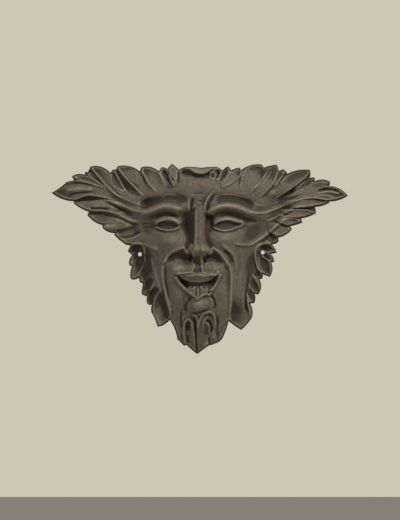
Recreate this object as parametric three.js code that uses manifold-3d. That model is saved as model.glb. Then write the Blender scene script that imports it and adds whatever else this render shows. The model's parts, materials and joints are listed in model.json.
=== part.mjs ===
// A foliate mask for a wall: one hollow-backed iron casting with leaf wings, leaf ears and a leaf beard.
// Millimetres. The wall is the plane y = 0 and the mask faces -Y. x runs to the viewer's right and z up.
// The origin lies on the wall plane, midway between the two screw holes.
// The front is a relief: a height over the wall for every x and z. Leaves are laid over a smooth swell of the
// face, each over the last, and ridges, grooves and bosses are added to it.

import * as THREE from 'three';
import { mergeVertices } from 'three/addons/utils/BufferGeometryUtils.js';
import Module from 'manifold-3d';

// Driving sizes
const WIDTH = 330; // wing tip to wing tip
const EDGE = 4.5; // thickness left at the very edge
const BEVEL = 2.6; // how far in from the edge the full height is reached
const WALL = 5; // least wall over the hollow
const FLANGE = 7; // solid margin between the outline and the hollow
const SCREW_HOLE = 4.5; // diameter
const SCREW_HOLES = [[-68.4, -1], [68.4, 1]]; // x, z
const PAD = 9; // solid radius around a screw hole
const AXIS = -3.5; // x of the nose, a little left of the middle as the carver left it

// Facets: spacing of the front's mesh over the face and over the wings, and of the hollow's
const FACE_STEP = 2.9;
const WING_STEP = 4.2;
const ROW_STEP = 3.1;
const HOLLOW_STEP = 9;
const SOFTEN = 1.6; // relief finer than the facets is widened by this much

// Outline, clockwise from the left wing tip: corner x, corner z, and the sagitta of the arc to the next corner
const OUTLINE = [
  [-166.8, 67.5, -0.7], [-150, 79.5, 0.3], [-142, 81.2, -0.2], [-144.3, 85.7, 1.9], [-129.8, 87.5, 0],
  [-129.3, 90.7, 0.3], [-126.4, 90.2, 0.2], [-123, 97, 3.2], [-101.1, 89.7, 0.3], [-98, 93.6, 0.3],
  [-95.2, 93, 0.4], [-92.5, 97.4, 2.9], [-68.3, 91.2, 0.6], [-66, 96.3, 2.3], [-47.3, 91.6, 0.2],
  [-44, 96, 0.5], [-37.8, 94, 0.4], [-32.5, 99.7, 0.2], [-24.9, 93.3, 0.4], [-17, 96.5, 0.3],
  [0, 95.3, 0.3], [17, 96.5, 0.3], [23.7, 92.4, 0.4], [29.6, 97.1, 0.5], [33.4, 92.3, 0.8], [43, 95.4, 0.2],
  [43.8, 92.5, 2.3], [66.2, 99.2, 0.7], [69.3, 95.4, 0.5], [83.7, 98.9, 0.6], [86, 91.7, 0.2],
  [91.7, 93.7, 0.2], [96.1, 88.9, 1.9], [120.7, 93, 0.9], [120.6, 84.1, 0.1], [125.5, 84.9, 0.5],
  [126.4, 80.4, 2.1], [143, 80.1, 0.7], [142.1, 75, 2.8], [163.2, 64.1, 1.7], [142.5, 57.7, 0],
  [142.4, 56.1, 0.9], [126.5, 51.5, 0.2], [127.8, 44.8, 1], [111, 38.8, 0], [112.6, 34.2, 0.4],
  [98.8, 30.1, 0], [101, 26.9, 1.8], [85.1, 17.3, 0.2], [86.3, 14, 1.3], [78.7, 10.2, 0.5], [84, 0.8, 0.3],
  [77, -0.6, 1.4], [81, -9.6, 0.2], [78, -10, 2.1], [76.3, -26.2, 0.3], [68.4, -23.1, 0.6],
  [67.5, -28.5, 0.1], [64.8, -28.8, 2.5], [63.5, -46, 0.2], [59.4, -44.9, 1.1], [59, -55.5, 0.1],
  [54.4, -55.8, 1.6], [56.5, -71.5, 0.6], [44.4, -85.4, 0.3], [30.3, -75.5, 0.5], [24, -94, 1.2],
  [15, -100.5, 0.4], [8.5, -102.5, 0], [-4.5, -112.2, 0.4], [-16.5, -102, 0.1], [-19.7, -103.2, -0.5],
  [-26.8, -96, -1.4], [-35, -74.3, 0.3], [-43, -80.5, 0], [-48.8, -81.9, -0.6], [-55.5, -66, 0.8],
  [-55, -57.2, 0.9], [-60.3, -56, 0.6], [-60.5, -47.8, 0.6], [-66.6, -45, 0.3], [-65, -33.5, 0.5],
  [-68.8, -31.5, 0], [-69.5, -27.4, 0.5], [-76.8, -29.5, 0.7], [-79.3, -25, 0.6], [-77.2, -14.7, 0.8],
  [-80.8, -11, 0.9], [-77, -2, 0.2], [-82, 2.5, 0.2], [-78.7, 9, 0.3], [-84, 9.5, 0.6], [-97, 20.5, 0.2],
  [-96.4, 22.5, 1.6], [-109.8, 28, 0.2], [-110.2, 31.3, 1.3], [-124.5, 39.8, 0.2], [-127, 42.5, 0.1],
  [-125.3, 45.9, 0.8], [-142, 55.5, 0.1], [-142, 58, 2.4],
];

// Heights and half widths along the height z of the face, as [z, value]
const CROWN = [
  [96, 33], [88, 32], [78, 34], [68, 37], [60, 41], [50, 45], [40, 44], [30, 43], [15, 45], [0, 47], 
  [-20, 48], [-35, 45], [-50, 43], [-65, 38], [-80, 30], [-95, 21], [-112, 11]];
const BORDER_HIGH = [
  [96, 23], [80, 26], [60, 29], [45, 31], [30, 32], [16, 35], [0, 38], [-12, 39], [-28, 38], 
  [-42, 36], [-52, 33], [-62, 29], [-74, 22], [-85, 18], [-95, 14], [-112, 9]];
const LEFT_BORDER = [
  [96, -46], [80, -52], [60, -60], [45, -62], [30, -58], [16, -52], [0, -45], [-12, -43], 
  [-28, -43.5], [-42, -40], [-52, -37.5], [-62, -35.5], [-74, -34.5], [-85, -30], [-96, -26], 
  [-112, -18]];
const RIGHT_BORDER = [
  [96, 45], [80, 50], [60, 56], [45, 56], [30, 52], [16, 46], [0, 38], [-14, 33], [-28, 33], 
  [-45, 32.5], [-70, 32.8], [-85, 28], [-96, 23], [-112, 12]];
const NOSE_HIGH = [
  [50, 45], [44, 49], [35, 51.5], [25, 55.5], [15, 61], [8, 66], [3, 69], [-2, 68], [-5, 62], 
  [-8, 54], [-11, 47]];
const NOSE_WIDE = [
  [50, 4.4], [44, 4.4], [30, 4.6], [20, 5.2], [12, 6.4], [6, 8], [2, 8.5], [-3, 7.5], [-8, 5],
];
const NOSE_STEEP = [[50, 10], [40, 16], [20, 22], [5, 26], [-10, 26]];

// Curves and blends

function clamp(value, low, high) {
  return Math.min(Math.max(value, low), high);
}

function smooth(u) {
  const t = clamp(u, 0, 1);
  return t * t * (3 - 2 * t);
}

// Smooth value through [position, value] pairs, flat past the ends
function through(at, pairs) {
  const p = pairs[0][0] > pairs[pairs.length - 1][0] ? [...pairs].reverse() : pairs;
  const last = p.length - 1;
  const q = clamp(at, p[0][0], p[last][0]);
  let i = 0;
  while (i < last - 1 && q >= p[i + 1][0]) i += 1;
  const slope = (k) => (k === 0 || k === last ? 0 : (p[k + 1][1] - p[k - 1][1]) / (p[k + 1][0] - p[k - 1][0]));
  const w = p[i + 1][0] - p[i][0];
  const s = (q - p[i][0]) / w;
  return (2 * s ** 3 - 3 * s ** 2 + 1) * p[i][1] + (s ** 3 - 2 * s ** 2 + s) * w * slope(i)
    + (3 * s ** 2 - 2 * s ** 3) * p[i + 1][1] + (s ** 3 - s ** 2) * w * slope(i + 1);
}

function evenly(values) {
  return values.map((value, i) => [i / (values.length - 1), value]);
}

// Smooth curve through points, as short straight stretches with the length run so far at each
function curve(points, pieces = 10) {
  const line = new THREE.CatmullRomCurve3(points.map(([x, z]) => new THREE.Vector3(x, 0, z)), false, 'catmullrom', 0.5);
  const at = [];
  let run = 0;
  const count = points.length === 2 ? 1 : pieces * (points.length - 1);
  for (let i = 0; i <= count; i += 1) {
    const p = line.getPoint(i / count);
    if (i > 0) run += Math.hypot(p.x - at[i - 1].x, p.z - at[i - 1].z);
    at.push({ x: p.x, z: p.z, run });
  }
  return at;
}

// Nearest place on a curve: share of its length and distance from it, positive on its left
function follow(line, x, z) {
  let best = Infinity;
  let share = 0;
  let side = 1;
  for (let i = 1; i < line.length; i += 1) {
    const a = line[i - 1];
    const dx = line[i].x - a.x;
    const dz = line[i].z - a.z;
    const u = clamp(((x - a.x) * dx + (z - a.z) * dz) / (dx * dx + dz * dz), 0, 1);
    const ex = x - a.x - u * dx;
    const ez = z - a.z - u * dz;
    const d = Math.hypot(ex, ez);
    if (d < best) {
      best = d;
      share = (a.run + u * Math.hypot(dx, dz)) / line[line.length - 1].run;
      side = dx * ez - dz * ex >= 0 ? 1 : -1;
    }
  }
  return { share, off: best * side };
}

function outlinePoints(step) {
  const points = [];
  OUTLINE.forEach(([x, z, sagitta], i) => {
    const [nx, nz] = OUTLINE[(i + 1) % OUTLINE.length];
    const chord = Math.hypot(nx - x, nz - z);
    const count = sagitta === 0 ? 1 : Math.max(1, Math.ceil(chord / step));
    for (let k = 0; k < count; k += 1) {
      const t = k / count;
      const bow = 4 * sagitta * t * (1 - t) / chord;
      points.push([x + (nx - x) * t - (nz - z) * bow, z + (nz - z) * t + (nx - x) * bow]);
    }
  });
  return points;
}

// Nearest point of the outline, with the distance to it, positive inside
function toOutline(points, x, z) {
  let best = Infinity;
  let at = [0, 0];
  let inside = false;
  for (let i = 0; i < points.length; i += 1) {
    const [ax, az] = points[i];
    const [bx, bz] = points[(i + 1) % points.length];
    const dx = bx - ax;
    const dz = bz - az;
    const u = clamp(((x - ax) * dx + (z - az) * dz) / (dx * dx + dz * dz), 0, 1);
    const d = Math.hypot(x - ax - u * dx, z - az - u * dz);
    if (d < best) {
      best = d;
      at = [ax + u * dx, az + u * dz];
    }
    if (az > z !== bz > z && x < ax + (z - az) * dx / (bz - az)) inside = !inside;
  }
  return { at, inward: inside ? best : -best };
}

// Strokes of the relief. Each changes the height of the places near it: place = { x, z, high }

function near(relief, points, reach) {
  const xs = points.map((p) => p[0]);
  const zs = points.map((p) => p[1]);
  const box = [Math.min(...xs) - reach, Math.max(...xs) + reach, Math.min(...zs) - reach, Math.max(...zs) + reach];
  return relief.filter(({ x, z }) => x > box[0] && x < box[1] && z > box[2] && z < box[3]);
}

// Ridge, or groove if high is negative. left and right are its half widths
function ridge(relief, points, high, left = 1.5, right = 1.5, { ends = [0.2, 0.2], power = 2 } = {}) {
  const line = curve(points);
  const wide = [left, right].map((w) => Math.hypot(w, SOFTEN));
  for (const place of near(relief, points, 2.6 * Math.max(...wide) + 2)) {
    const { share, off } = follow(line, place.x, place.z);
    const [w, w0] = off > 0 ? [wide[0], left] : [wide[1], right];
    let rise = high * (w0 / w) * Math.exp(-((Math.abs(off) / w) ** power));
    if (ends[0] > 0) rise *= smooth(share / ends[0]);
    if (ends[1] > 0) rise *= smooth((1 - share) / ends[1]);
    place.high += rise;
  }
}

// Rounded boss, or hollow if high is negative, with half sizes along and across its turned axis
function boss(relief, x, z, along, across, high, { turn = 0, power = 2 } = {}) {
  const c = Math.cos(THREE.MathUtils.degToRad(turn));
  const s = Math.sin(THREE.MathUtils.degToRad(turn));
  for (const place of relief) {
    const dx = place.x - x;
    const dz = place.z - z;
    const u = (dx * c + dz * s) / along;
    const v = (-dx * s + dz * c) / across;
    place.high += high * Math.exp(-((u * u + v * v) ** (power / 2)));
  }
}

// Leaf along a spine from root to tip. left and right are its half widths at even shares of the spine, closing to
// nothing at the tip; high is its height at even shares
function leaf(relief, spine, left, right, high, options = {}) {
  const { rim = [1.2, 1.2], dish = 1.2, fade = 0.35, tip = 2, rib = 0, edge = 0.6, tilt = 0 } = options;
  const line = curve(spine);
  const half = (widths, share) => Math.max(through(share, evenly([...widths, 0].map((w) => w ** tip))), 0) ** (1 / tip);
  const blur = Math.hypot(edge, SOFTEN);
  const rimWide = Math.hypot(1.6, SOFTEN);
  for (const place of near(relief, spine, Math.max(...left, ...right) + 3)) {
    const { share, off } = follow(line, place.x, place.z);
    const toLeft = half(left, share) - off;
    const toRight = half(right, share) + off;
    const across = clamp(off > 0 ? off / Math.max(half(left, share), 0.4) : off / Math.max(half(right, share), 0.4), -1.2, 1.2);
    const top = through(share, evenly(high)) - dish * (1 - across ** 2) + tilt * across
      + rim[0] * Math.exp(-(((toLeft - 0.9) / rimWide) ** 2)) + rim[1] * Math.exp(-(((toRight - 0.9) / rimWide) ** 2))
      + rib * Math.exp(-((off / 1.5) ** 2));
    const cover = smooth((Math.min(toLeft, toRight) + blur) / (2 * blur)) * (fade > 0 ? smooth(share / fade) : 1);
    place.high += cover * (top - place.high);
  }
}

// Raises places to a height given by a function, with a soft join
function lift(relief, heightAt, soft) {
  for (const place of relief) {
    const gap = heightAt(place.x, place.z) - place.high;
    place.high += soft * (clamp(gap / soft, -1, 1) + 1) ** 2 / 4 + Math.max(gap - soft, 0);
  }
}

// The swell of the face, which runs out into the wings above and falls away beside the mouth and beard below
function swell(x, z) {
  const u = Math.abs(x - AXIS);
  const isLeft = x < AXIS;
  const wing = 8 + 24 * Math.exp(-((u / 82) ** 1.6));
  const top = smooth((z - 70) / 30);
  const crown = through(z, CROWN);
  const border = through(z, BORDER_HIGH);
  const half = isLeft ? AXIS - through(z, LEFT_BORDER) : through(z, RIGHT_BORDER) - AXIS;
  const upper = wing + (crown - wing) * Math.exp(-((u / ((isLeft ? 62 : 58) - 8 * top)) ** 2.6))
    - 3 * top * Math.exp(-((u / 90) ** 2));
  const skirt = 11;
  const lower = u < half
    ? crown - (crown - border) * (u / half) ** 2.4
    : skirt + (border - skirt) * (1 - smooth((u - half) / (isLeft ? 18 : 30)));
  return lower + (upper - lower) * smooth((z + 8) / 34);
}

function wings(r) {
  // left, lower leaves, each under the next
  leaf(r, [[-66, 28], [-80, 22], [-97, 20]],
    [4, 4.5, 5, 3.5], [5, 8, 9, 6.5], [22, 9], { rim: [1, 1.5], dish: 1.5 });
  leaf(r, [[-72, 36], [-90, 32], [-110, 29]],
    [4, 5.5, 5], [5, 8.5, 7.5], [22, 10], { rim: [0.5, 2.2], dish: 2 });
  leaf(r, [[-82, 42], [-103, 39.5], [-127, 42.3]],
    [6, 7.5, 6.5], [5, 6, 5], [22, 9], { rim: [1, 0.6], dish: 1.5 });
  leaf(r, [[-82, 48], [-103, 52], [-122, 52.5], [-142, 56.5]],
    [8, 7, 6, 4.5], [6, 7, 8, 5.5], [24, 9], { rim: [2, 0.8], dish: 1.6 });
  leaf(r, [[-80, 62], [-103, 67], [-128, 71], [-148, 69.5], [-166.8, 67.3]],
    [9, 7, 7, 11], [9, 8, 8.5, 11], [25, 16, 8], { rim: [2.2, 1], dish: 2, tip: 1.3 });
  // left, upper leaves
  leaf(r, [[-95, 70], [-113, 77], [-130, 83], [-144.5, 85.9]],
    [3, 3.5, 4, 3.5], [3, 3.5, 4, 4], [20, 10.5], { rim: [1.4, 0.8], dish: 1 });
  leaf(r, [[-97, 71], [-113, 80], [-129.5, 91]],
    [2.5, 3, 2.5], [3, 3.5, 3.5], [21, 12], { rim: [0.8, 0.8], dish: 0.6 });
  leaf(r, [[-84, 62], [-97, 74], [-110, 87], [-124, 97.5]],
    [5, 6, 6, 4.5], [5, 6.5, 8, 6.5], [24, 18, 12.5], { rim: [2.4, 1.2], dish: 2.2 });
  leaf(r, [[-82, 64], [-92, 77], [-98, 94]],
    [3, 5.5, 7, 4], [3, 3.5, 4, 2.5], [25, 15], { rim: [1.2, 2.2], dish: 1.8 });
  leaf(r, [[-58, 62], [-70, 77], [-81, 88], [-94, 97.5]],
    [5, 6, 6.5, 5.5], [6, 8, 10, 7.5], [28, 22, 14.5], { rim: [2.6, 1.2], dish: 2.6 });
  leaf(r, [[-44, 66], [-52, 80], [-66, 97]],
    [5, 6.5, 7.5, 5.5], [5, 6.5, 8, 7.5], [30, 25, 17], { rim: [1.8, 1.8], dish: 2.2 });
  leaf(r, [[-33, 74], [-38, 86], [-44.5, 96.5]],
    [3, 3.5, 3], [3, 4, 3.5], [31, 20], { rim: [0.6, 2], dish: 0.8 });
  leaf(r, [[-30, 76.5], [-31.5, 86], [-32.5, 100]],
    [2.5, 4.5, 5, 4], [2.5, 4, 5, 5],
    [37, 31, 22], { rim: [2.4, 2.4], dish: 3.2, fade: 0, tip: 1.6, edge: 0.8 });
  // right, lower leaves
  leaf(r, [[66, 24], [77, 18], [87, 13.5]], [4, 4, 3.5], [5, 5, 4.5], [20, 9], { rim: [1, 1], dish: 1 });
  leaf(r, [[72, 31], [86, 28], [101, 26.5]],
    [4, 4.5, 5, 3.5], [5, 7, 9, 6.5], [22, 9], { rim: [1, 1.4], dish: 1.6 });
  leaf(r, [[80, 40], [97, 37.5], [113, 34]],
    [4, 4, 4, 2.5], [4, 5.5, 6.5, 4.5], [21, 9], { rim: [1.6, 1], dish: 1.4, rib: 0.8 });
  leaf(r, [[86, 45], [107, 46], [128, 44.6]],
    [4, 4.5, 5, 4.5], [4, 5, 6, 4.5], [22, 9], { rim: [1.8, 0.8], dish: 1.4 });
  leaf(r, [[88, 52], [115, 57], [142.7, 56.6]],
    [5, 5, 4.5, 3.5], [5, 6, 7, 5], [23, 9], { rim: [2, 0.8], dish: 1.4 });
  leaf(r, [[88, 56], [118, 66], [143, 67.5], [163.3, 64]],
    [5, 5.5, 6.5, 7.5], [5, 4.5, 6.5, 9], [25, 15, 8], { rim: [2.2, 1.2], dish: 2.2, tip: 1.4, rib: 1.2 });
  // right, upper leaves
  leaf(r, [[96, 62], [120, 73.5], [143.5, 79]],
    [3, 4, 5, 4], [3, 3.5, 4, 3.5], [20, 10], { rim: [1, 1.6], dish: 1.2 });
  leaf(r, [[98, 66], [113, 75], [126.3, 83.5]],
    [2.5, 3.5, 3], [2.5, 3, 2.5], [21, 11], { rim: [1, 1], dish: 0.8 });
  leaf(r, [[80, 62], [92, 74], [105, 84], [121.4, 92.4]],
    [5, 6.5, 8, 6], [4, 6, 7.5, 6.5], [26, 19, 12], { rim: [1.2, 2.4], dish: 2.2 });
  leaf(r, [[76, 70], [84, 83], [92.5, 94]], [3, 4, 3.5], [3, 4, 4], [26, 15], { rim: [1, 1.2], dish: 1.2 });
  leaf(r, [[60, 62], [70, 76], [77, 86], [84.5, 99]],
    [5, 6, 7, 6.5], [5, 6.5, 7.5, 6], [29, 23, 15], { rim: [1.2, 2.2], dish: 2.4 });
  leaf(r, [[46, 64], [52, 80], [58, 90], [67.5, 99.5]],
    [5, 7.5, 9, 9], [6, 10, 13, 8.5], [31, 26, 17], { rim: [2, 1.8], dish: 2.8 });
  leaf(r, [[18.5, 76], [23.5, 86], [30, 97.4]],
    [2, 3, 2.5], [2, 3, 2.5], [33, 22], { rim: [1.8, 1.8], dish: 1 });
  leaf(r, [[24, 75], [31, 84], [43.5, 95.8]],
    [3, 5.5, 6.5, 5], [3, 6, 7, 5],
    [36, 31, 21], { rim: [2, 2.2], dish: 1.6, fade: 0, tip: 1.6, edge: 0.8 });
  // sweeping ribs of the right wing
  ridge(r, [[69.5, 34], [82, 40.3], [90, 45], [100, 49]], 1.8, 1.6, 1.3);
  ridge(r, [[84, 38], [95, 43], [103, 47]], -1.2, 1.4, 1.4);
  ridge(r, [[35, 11], [42, 9.5], [50, 9], [56, 10], [62, 13.5], [72, 21.5], [79, 26.5], [89, 34]],
    3.2, 2.6, 1.6, { ends: [0.1, 0.15] });
  ridge(r, [[52, 46], [68, 43.5], [80, 46], [95, 52], [115, 58]], 2.4, 2.2, 1.5);
  ridge(r, [[64, 50], [82, 53], [105, 61], [128, 65]], 1.6, 1.6, 1.3);
  ridge(r, [[66, 56], [90, 62], [112, 70]], 1.2, 1.5, 1.3);
  // left wing
  ridge(r, [[-60, 46], [-72, 46.5], [-84, 51], [-98, 56.5], [-112, 61]], 2.4, 1.6, 2.2);
  ridge(r, [[-66, 35], [-76, 36.2], [-86, 41], [-96, 45], [-108, 46.5]], 2.2, 1.8, 1.4);
  ridge(r, [[-62, 52], [-78, 57], [-95, 65]], 1.3, 1.6, 1.6);
}

function sides(r) {
  // right strap and jaw leaf
  ridge(r, [[46, 0], [45, -20], [44.5, -42], [44, -60]], 2.0, 3.4, 3.4, { ends: [0.3, 0.2] });
  leaf(r, [[43.5, -46], [43.2, -60], [44, -72], [44.5, -86]],
    [8, 9.5, 11.5, 10.5], [9, 9.5, 11, 10],
    [24, 18.5, 12], { rim: [1.6, 1.6], dish: 2.6, tip: 1.5, fade: 0.55 });
  ridge(r, [[54, -14], [52, -26], [50.2, -37], [48.8, -48], [49.4, -58], [52, -69]],
    -4.2, 1.8, 1.6, { ends: [0.3, 0.2] });
  // small side leaves, right
  leaf(r, [[52, -36], [56, -46], [59.5, -56]],
    [3, 3.5, 3.5, 3], [3, 3.5, 4, 2.5], [17, 9], { rim: [1, 1.6], dish: 1 });
  leaf(r, [[54, -22], [58, -34], [64, -46.3]],
    [3, 4.5, 5.5, 4.5], [3, 3.5, 4, 2.5], [18, 9.5], { rim: [1.2, 2], dish: 1.4 });
  leaf(r, [[58, -14], [63, -22], [67.5, -29]],
    [3, 3, 2.5], [3, 3, 2.5], [16, 9], { rim: [1, 1], dish: 0.8 });
  leaf(r, [[66, 4], [70, -12], [76.5, -26.5]],
    [6, 8, 9, 6], [6, 6, 6, 4.5], [14, 9], { rim: [1.4, 2.6], dish: 2.6, fade: 0.2 });
  leaf(r, [[66, 2], [73, -4], [81.5, -9.5]],
    [3, 4, 4], [3, 3.5, 3], [13, 9], { rim: [1.2, 1.2], dish: 1.4 });
  leaf(r, [[63, 4], [73, 5], [84.3, 0.8]],
    [4, 5, 5.5, 4.5], [3, 3.5, 4, 2.5], [14, 9], { rim: [2, 1.2], dish: 1.4 });
  ridge(r, [[80.5, 7.5], [77, 10], [72, 10.6], [66, 9.2], [61, 6], [59.6, -2], [61.5, -12], [65, -19], [69.5, -22.6], [76, -25.6]],
    3.2, 1.3, 1.6, { ends: [0.08, 0.05] });
  boss(r, 70.5, -9, 4.5, 10, -2.6, { turn: -14 });
  // small side leaves, left
  leaf(r, [[-48, -36], [-54, -46], [-60, -57]],
    [3, 3.5, 3.5, 2.5], [3, 3.5, 4, 3], [15, 9], { rim: [1.4, 1], dish: 1 });
  leaf(r, [[-54, -26], [-60, -36], [-67, -46]],
    [3, 3.5, 3.5, 2.5], [3, 4, 5, 4], [14, 9], { rim: [1.8, 1.2], dish: 1.2 });
  leaf(r, [[-58, -16], [-63, -24], [-69, -32.5]],
    [3, 3, 2.5], [3, 4, 3.5], [13, 9], { rim: [1, 1], dish: 0.8 });
  leaf(r, [[-66, 2], [-70, -14], [-77.5, -30]],
    [5, 5.5, 5.5, 4.5], [5, 6.5, 8, 5.5], [13, 9], { rim: [2.2, 1.2], dish: 2.2, fade: 0.2 });
  leaf(r, [[-66, 1], [-73, -5], [-81, -11.5]],
    [3, 3.5, 3], [3, 4, 3.5], [12, 9], { rim: [1, 1], dish: 1.2 });
  leaf(r, [[-63, 4], [-72, 5], [-82.3, 2.5]],
    [3, 4, 3.5], [4, 5, 4], [13, 9], { rim: [1, 1.8], dish: 1.4 });
  ridge(r, [[-79, 6], [-76, 9.6], [-71.5, 10.6], [-66, 9], [-63, 3], [-62, -8], [-61.5, -20]],
    2.8, 1.6, 1.3, { ends: [0.08, 0.3] });
  boss(r, -70.5, -9, 4, 9, -2.0, { turn: 12 });
  // left strap and jaw leaf
  leaf(r, [[-46, -30], [-45, -55], [-45, -68], [-48.8, -82.3]],
    [4, 5.5, 8, 9], [4, 5.5, 8, 8.5], [22, 17, 11], { rim: [1.2, 1.6], dish: 2, fade: 0.4, tip: 1.6 });
  ridge(r, [[-57, 2], [-54, -12], [-48, -32], [-44, -42], [-38.5, -57]], 2.6, 2.2, 1.6);
  ridge(r, [[-66, 12], [-60, 8.5], [-55, 6.5], [-47.5, 3]], 2.4, 2.4, 1.4);
  // panel borders
  ridge(r, [[-38, -4], [-42.5, -12], [-43.7, -20], [-43.3, -29], [-40, -42], [-37.2, -53], [-35, -63], [-34, -71]],
    3.0, 1.8, 1.8, { ends: [0.1, 0.1] });
  ridge(r, [[26, -6], [31, -14], [33, -24], [33, -35], [32.4, -50], [32.4, -62], [31.5, -71]],
    3.4, 2.0, 1.8, { ends: [0.1, 0.1] });
}

function face(r) {
  // eye sockets, cheeks and temples
  boss(r, -37, 37, 22, 12, -11);
  boss(r, 31, 38, 22, 12, -11);
  boss(r, -15, 36, 7, 12, -10);
  boss(r, 8.5, 36, 6, 10, -8);
  boss(r, -33, 16, 17, 11, 5);
  boss(r, 25, 17, 18, 11, 5);
  // eyeballs
  boss(r, -36.5, 31.5, 14, 9.5, 8, { power: 2.6 });
  boss(r, 29, 31.5, 15, 9.5, 8, { power: 2.6 });
  // lids
  ridge(r, [[-52, 31], [-46, 36], [-40, 38.2], [-34, 37.8], [-28, 35], [-22.5, 29.5]],
    3.6, 1.8, 3.0, { ends: [0.15, 0.12] });
  ridge(r, [[-52, 30.5], [-45, 26.6], [-38, 25], [-30, 26], [-22.5, 29.5]],
    2.6, 1.3, 1.0, { ends: [0.1, 0.1] });
  ridge(r, [[-49.5, 30.8], [-43, 30.6], [-36, 29.8], [-26, 29.6]],
    -4.0, 2.4, 1.8, { ends: [0.2, 0.2], power: 2.6 });
  ridge(r, [[11, 29.5], [18, 34.5], [25, 37.4], [32, 37], [40, 35], [49, 32.5]],
    3.6, 3.0, 1.8, { ends: [0.12, 0.15] });
  ridge(r, [[11, 29.8], [18, 26.4], [25, 25], [34, 26.8], [42, 29.8], [49, 32]],
    2.6, 1.0, 1.3, { ends: [0.1, 0.1] });
  ridge(r, [[14, 30], [22, 30.3], [32, 30.6], [43, 31.8]],
    -4.0, 2.0, 2.0, { ends: [0.2, 0.2], power: 2.6 });
  ridge(r, [[-52, 36], [-45, 41.8], [-38, 42.8], [-30, 41], [-23, 36]], -2.6, 2.0, 1.6);
  ridge(r, [[17, 39], [28, 41.4], [40, 39], [58, 35.5]], -2.6, 1.6, 2.0);
  // brows
  ridge(r, [[-72, 45], [-62, 46], [-50, 50], [-42, 53], [-34, 53], [-26, 49.8], [-19, 45.5]],
    7.5, 4.2, 3.4, { ends: [0.35, 0.12], power: 2.4 });
  ridge(r, [[6.3, 42], [10, 46], [17, 51], [26, 53.8], [34, 53], [43, 50.5], [54, 46], [66, 43.5], [80, 46]],
    7.5, 3.4, 4.2, { ends: [0.05, 0.4], power: 2.4 });
  ridge(r, [[-46, 57], [-38, 60.5], [-30, 60.5], [-22, 56], [-16, 50]], 1.2, 1.3, 1.3);
  ridge(r, [[-40, 62.5], [-32, 63.5], [-24, 61], [-15, 54]], 1.0, 1.2, 1.2);
  ridge(r, [[8, 47], [12, 54], [18, 59.5], [27, 62.8]], 1.4, 1.3, 1.3);
  ridge(r, [[10, 49], [16, 55.5], [24, 58.5], [34, 58]], 1.2, 1.2, 1.2);
  ridge(r, [[6.5, 42], [3.6, 46.5], [3.6, 51], [5.5, 57], [9, 63], [14, 68]],
    3.6, 1.2, 2.2, { ends: [0.05, 0.3] });
  // forehead: soft fold over the brows, hollow at the middle
  ridge(r, [[-66, 54], [-54, 62], [-40, 66.5], [-25, 67], [-10, 63]], -4.5, 5, 4.5);
  ridge(r, [[66, 52], [54, 60], [40, 66], [24, 69], [12, 68]], -3.5, 4.5, 5);
  boss(r, -22, 57, 6, 5, -2.5, { turn: -35 });
  boss(r, -56, 57, 9, 5, -3.5, { turn: 20 });
  boss(r, -3, 79, 24, 8, 2.5);
  boss(r, -84, 62, 14, 8, 3.0, { turn: -10 });
  boss(r, 64, 66, 13, 11, 3.0);
  // glabella
  ridge(r, [[-3.5, 66], [-3.5, 52]], 2.5, 5, 5, { ends: [0.3, 0.1] });
  wrinkles(r);
  boss(r, -7, 51, 2.2, 1.8, 2.6);
  boss(r, -0.4, 50.6, 2.2, 1.8, 2.6);
  boss(r, -7, 47.8, 1.8, 1.0, -2);
  boss(r, -0.4, 47.6, 1.8, 1.0, -2);
  ridge(r, [[-12.5, 62], [-14.5, 53], [-12.5, 45]], 1.6, 1.2, 1.6);
  ridge(r, [[-10, 60], [-11, 52], [-10.5, 44]], -2.2, 1.4, 1.4);
  nose(r);
  // nasolabial folds
  ridge(r, [[-16, 7.5], [-22, 5.5], [-28, 3.2], [-33, 0.5], [-38, -4], [-42.5, -12]],
    3.6, 2.4, 2.0, { ends: [0.1, 0.1] });
  ridge(r, [[8, 8], [12, 6.2], [20, 0.8], [26, -6], [31, -14]], 3.6, 2.0, 2.4, { ends: [0.1, 0.1] });
  ridge(r, [[-40, -9], [-34, -2], [-26, 0], [-18, 1]], -2.5, 2.2, 2.2);
  ridge(r, [[10, 3], [16, -1], [22, -8], [27, -17]], -2.5, 2.2, 2.2);
  ridge(r, [[20, 9.5], [28, 5], [35, -1.5], [38.5, -12], [38, -22]], 2.4, 2.4, 2.0);
  ridge(r, [[24, 3], [30, -3], [34, -12]], -1.4, 1.6, 1.6);
}

function nose(r) {
  noseForm(r);
  // flutes on the bridge, creases over the nostrils, nostrils, and the wall between them
  ridge(r, [[-6.5, 44], [-7, 30], [-7.6, 20], [-10, 12]], 0.9, 0.9, 0.9, { ends: [0.1, 0.2] });
  ridge(r, [[0.2, 44], [0.6, 30], [1.2, 20], [4, 12]], 0.9, 0.9, 0.9, { ends: [0.1, 0.2] });
  ridge(r, [[-3.4, 42], [-3.4, 18]], 0.7, 0.9, 0.9);
  ridge(r, [[-12, 9.5], [-10.4, 5], [-11, 0]], -2.0, 1.1, 1.1, { ends: [0.2, 0.2] });
  ridge(r, [[5, 9.5], [3.6, 5], [4.4, 0]], -2.0, 1.1, 1.1, { ends: [0.2, 0.2] });
  boss(r, -9.8, -5.2, 2.7, 2.0, -8, { turn: 25 });
  boss(r, 2.8, -5.4, 2.5, 2.2, -8, { turn: -35 });
  ridge(r, [[-3.5, 0], [-3.5, -9]], 2.0, 1.6, 1.6, { ends: [0.1, 0.2] });
}

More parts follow.
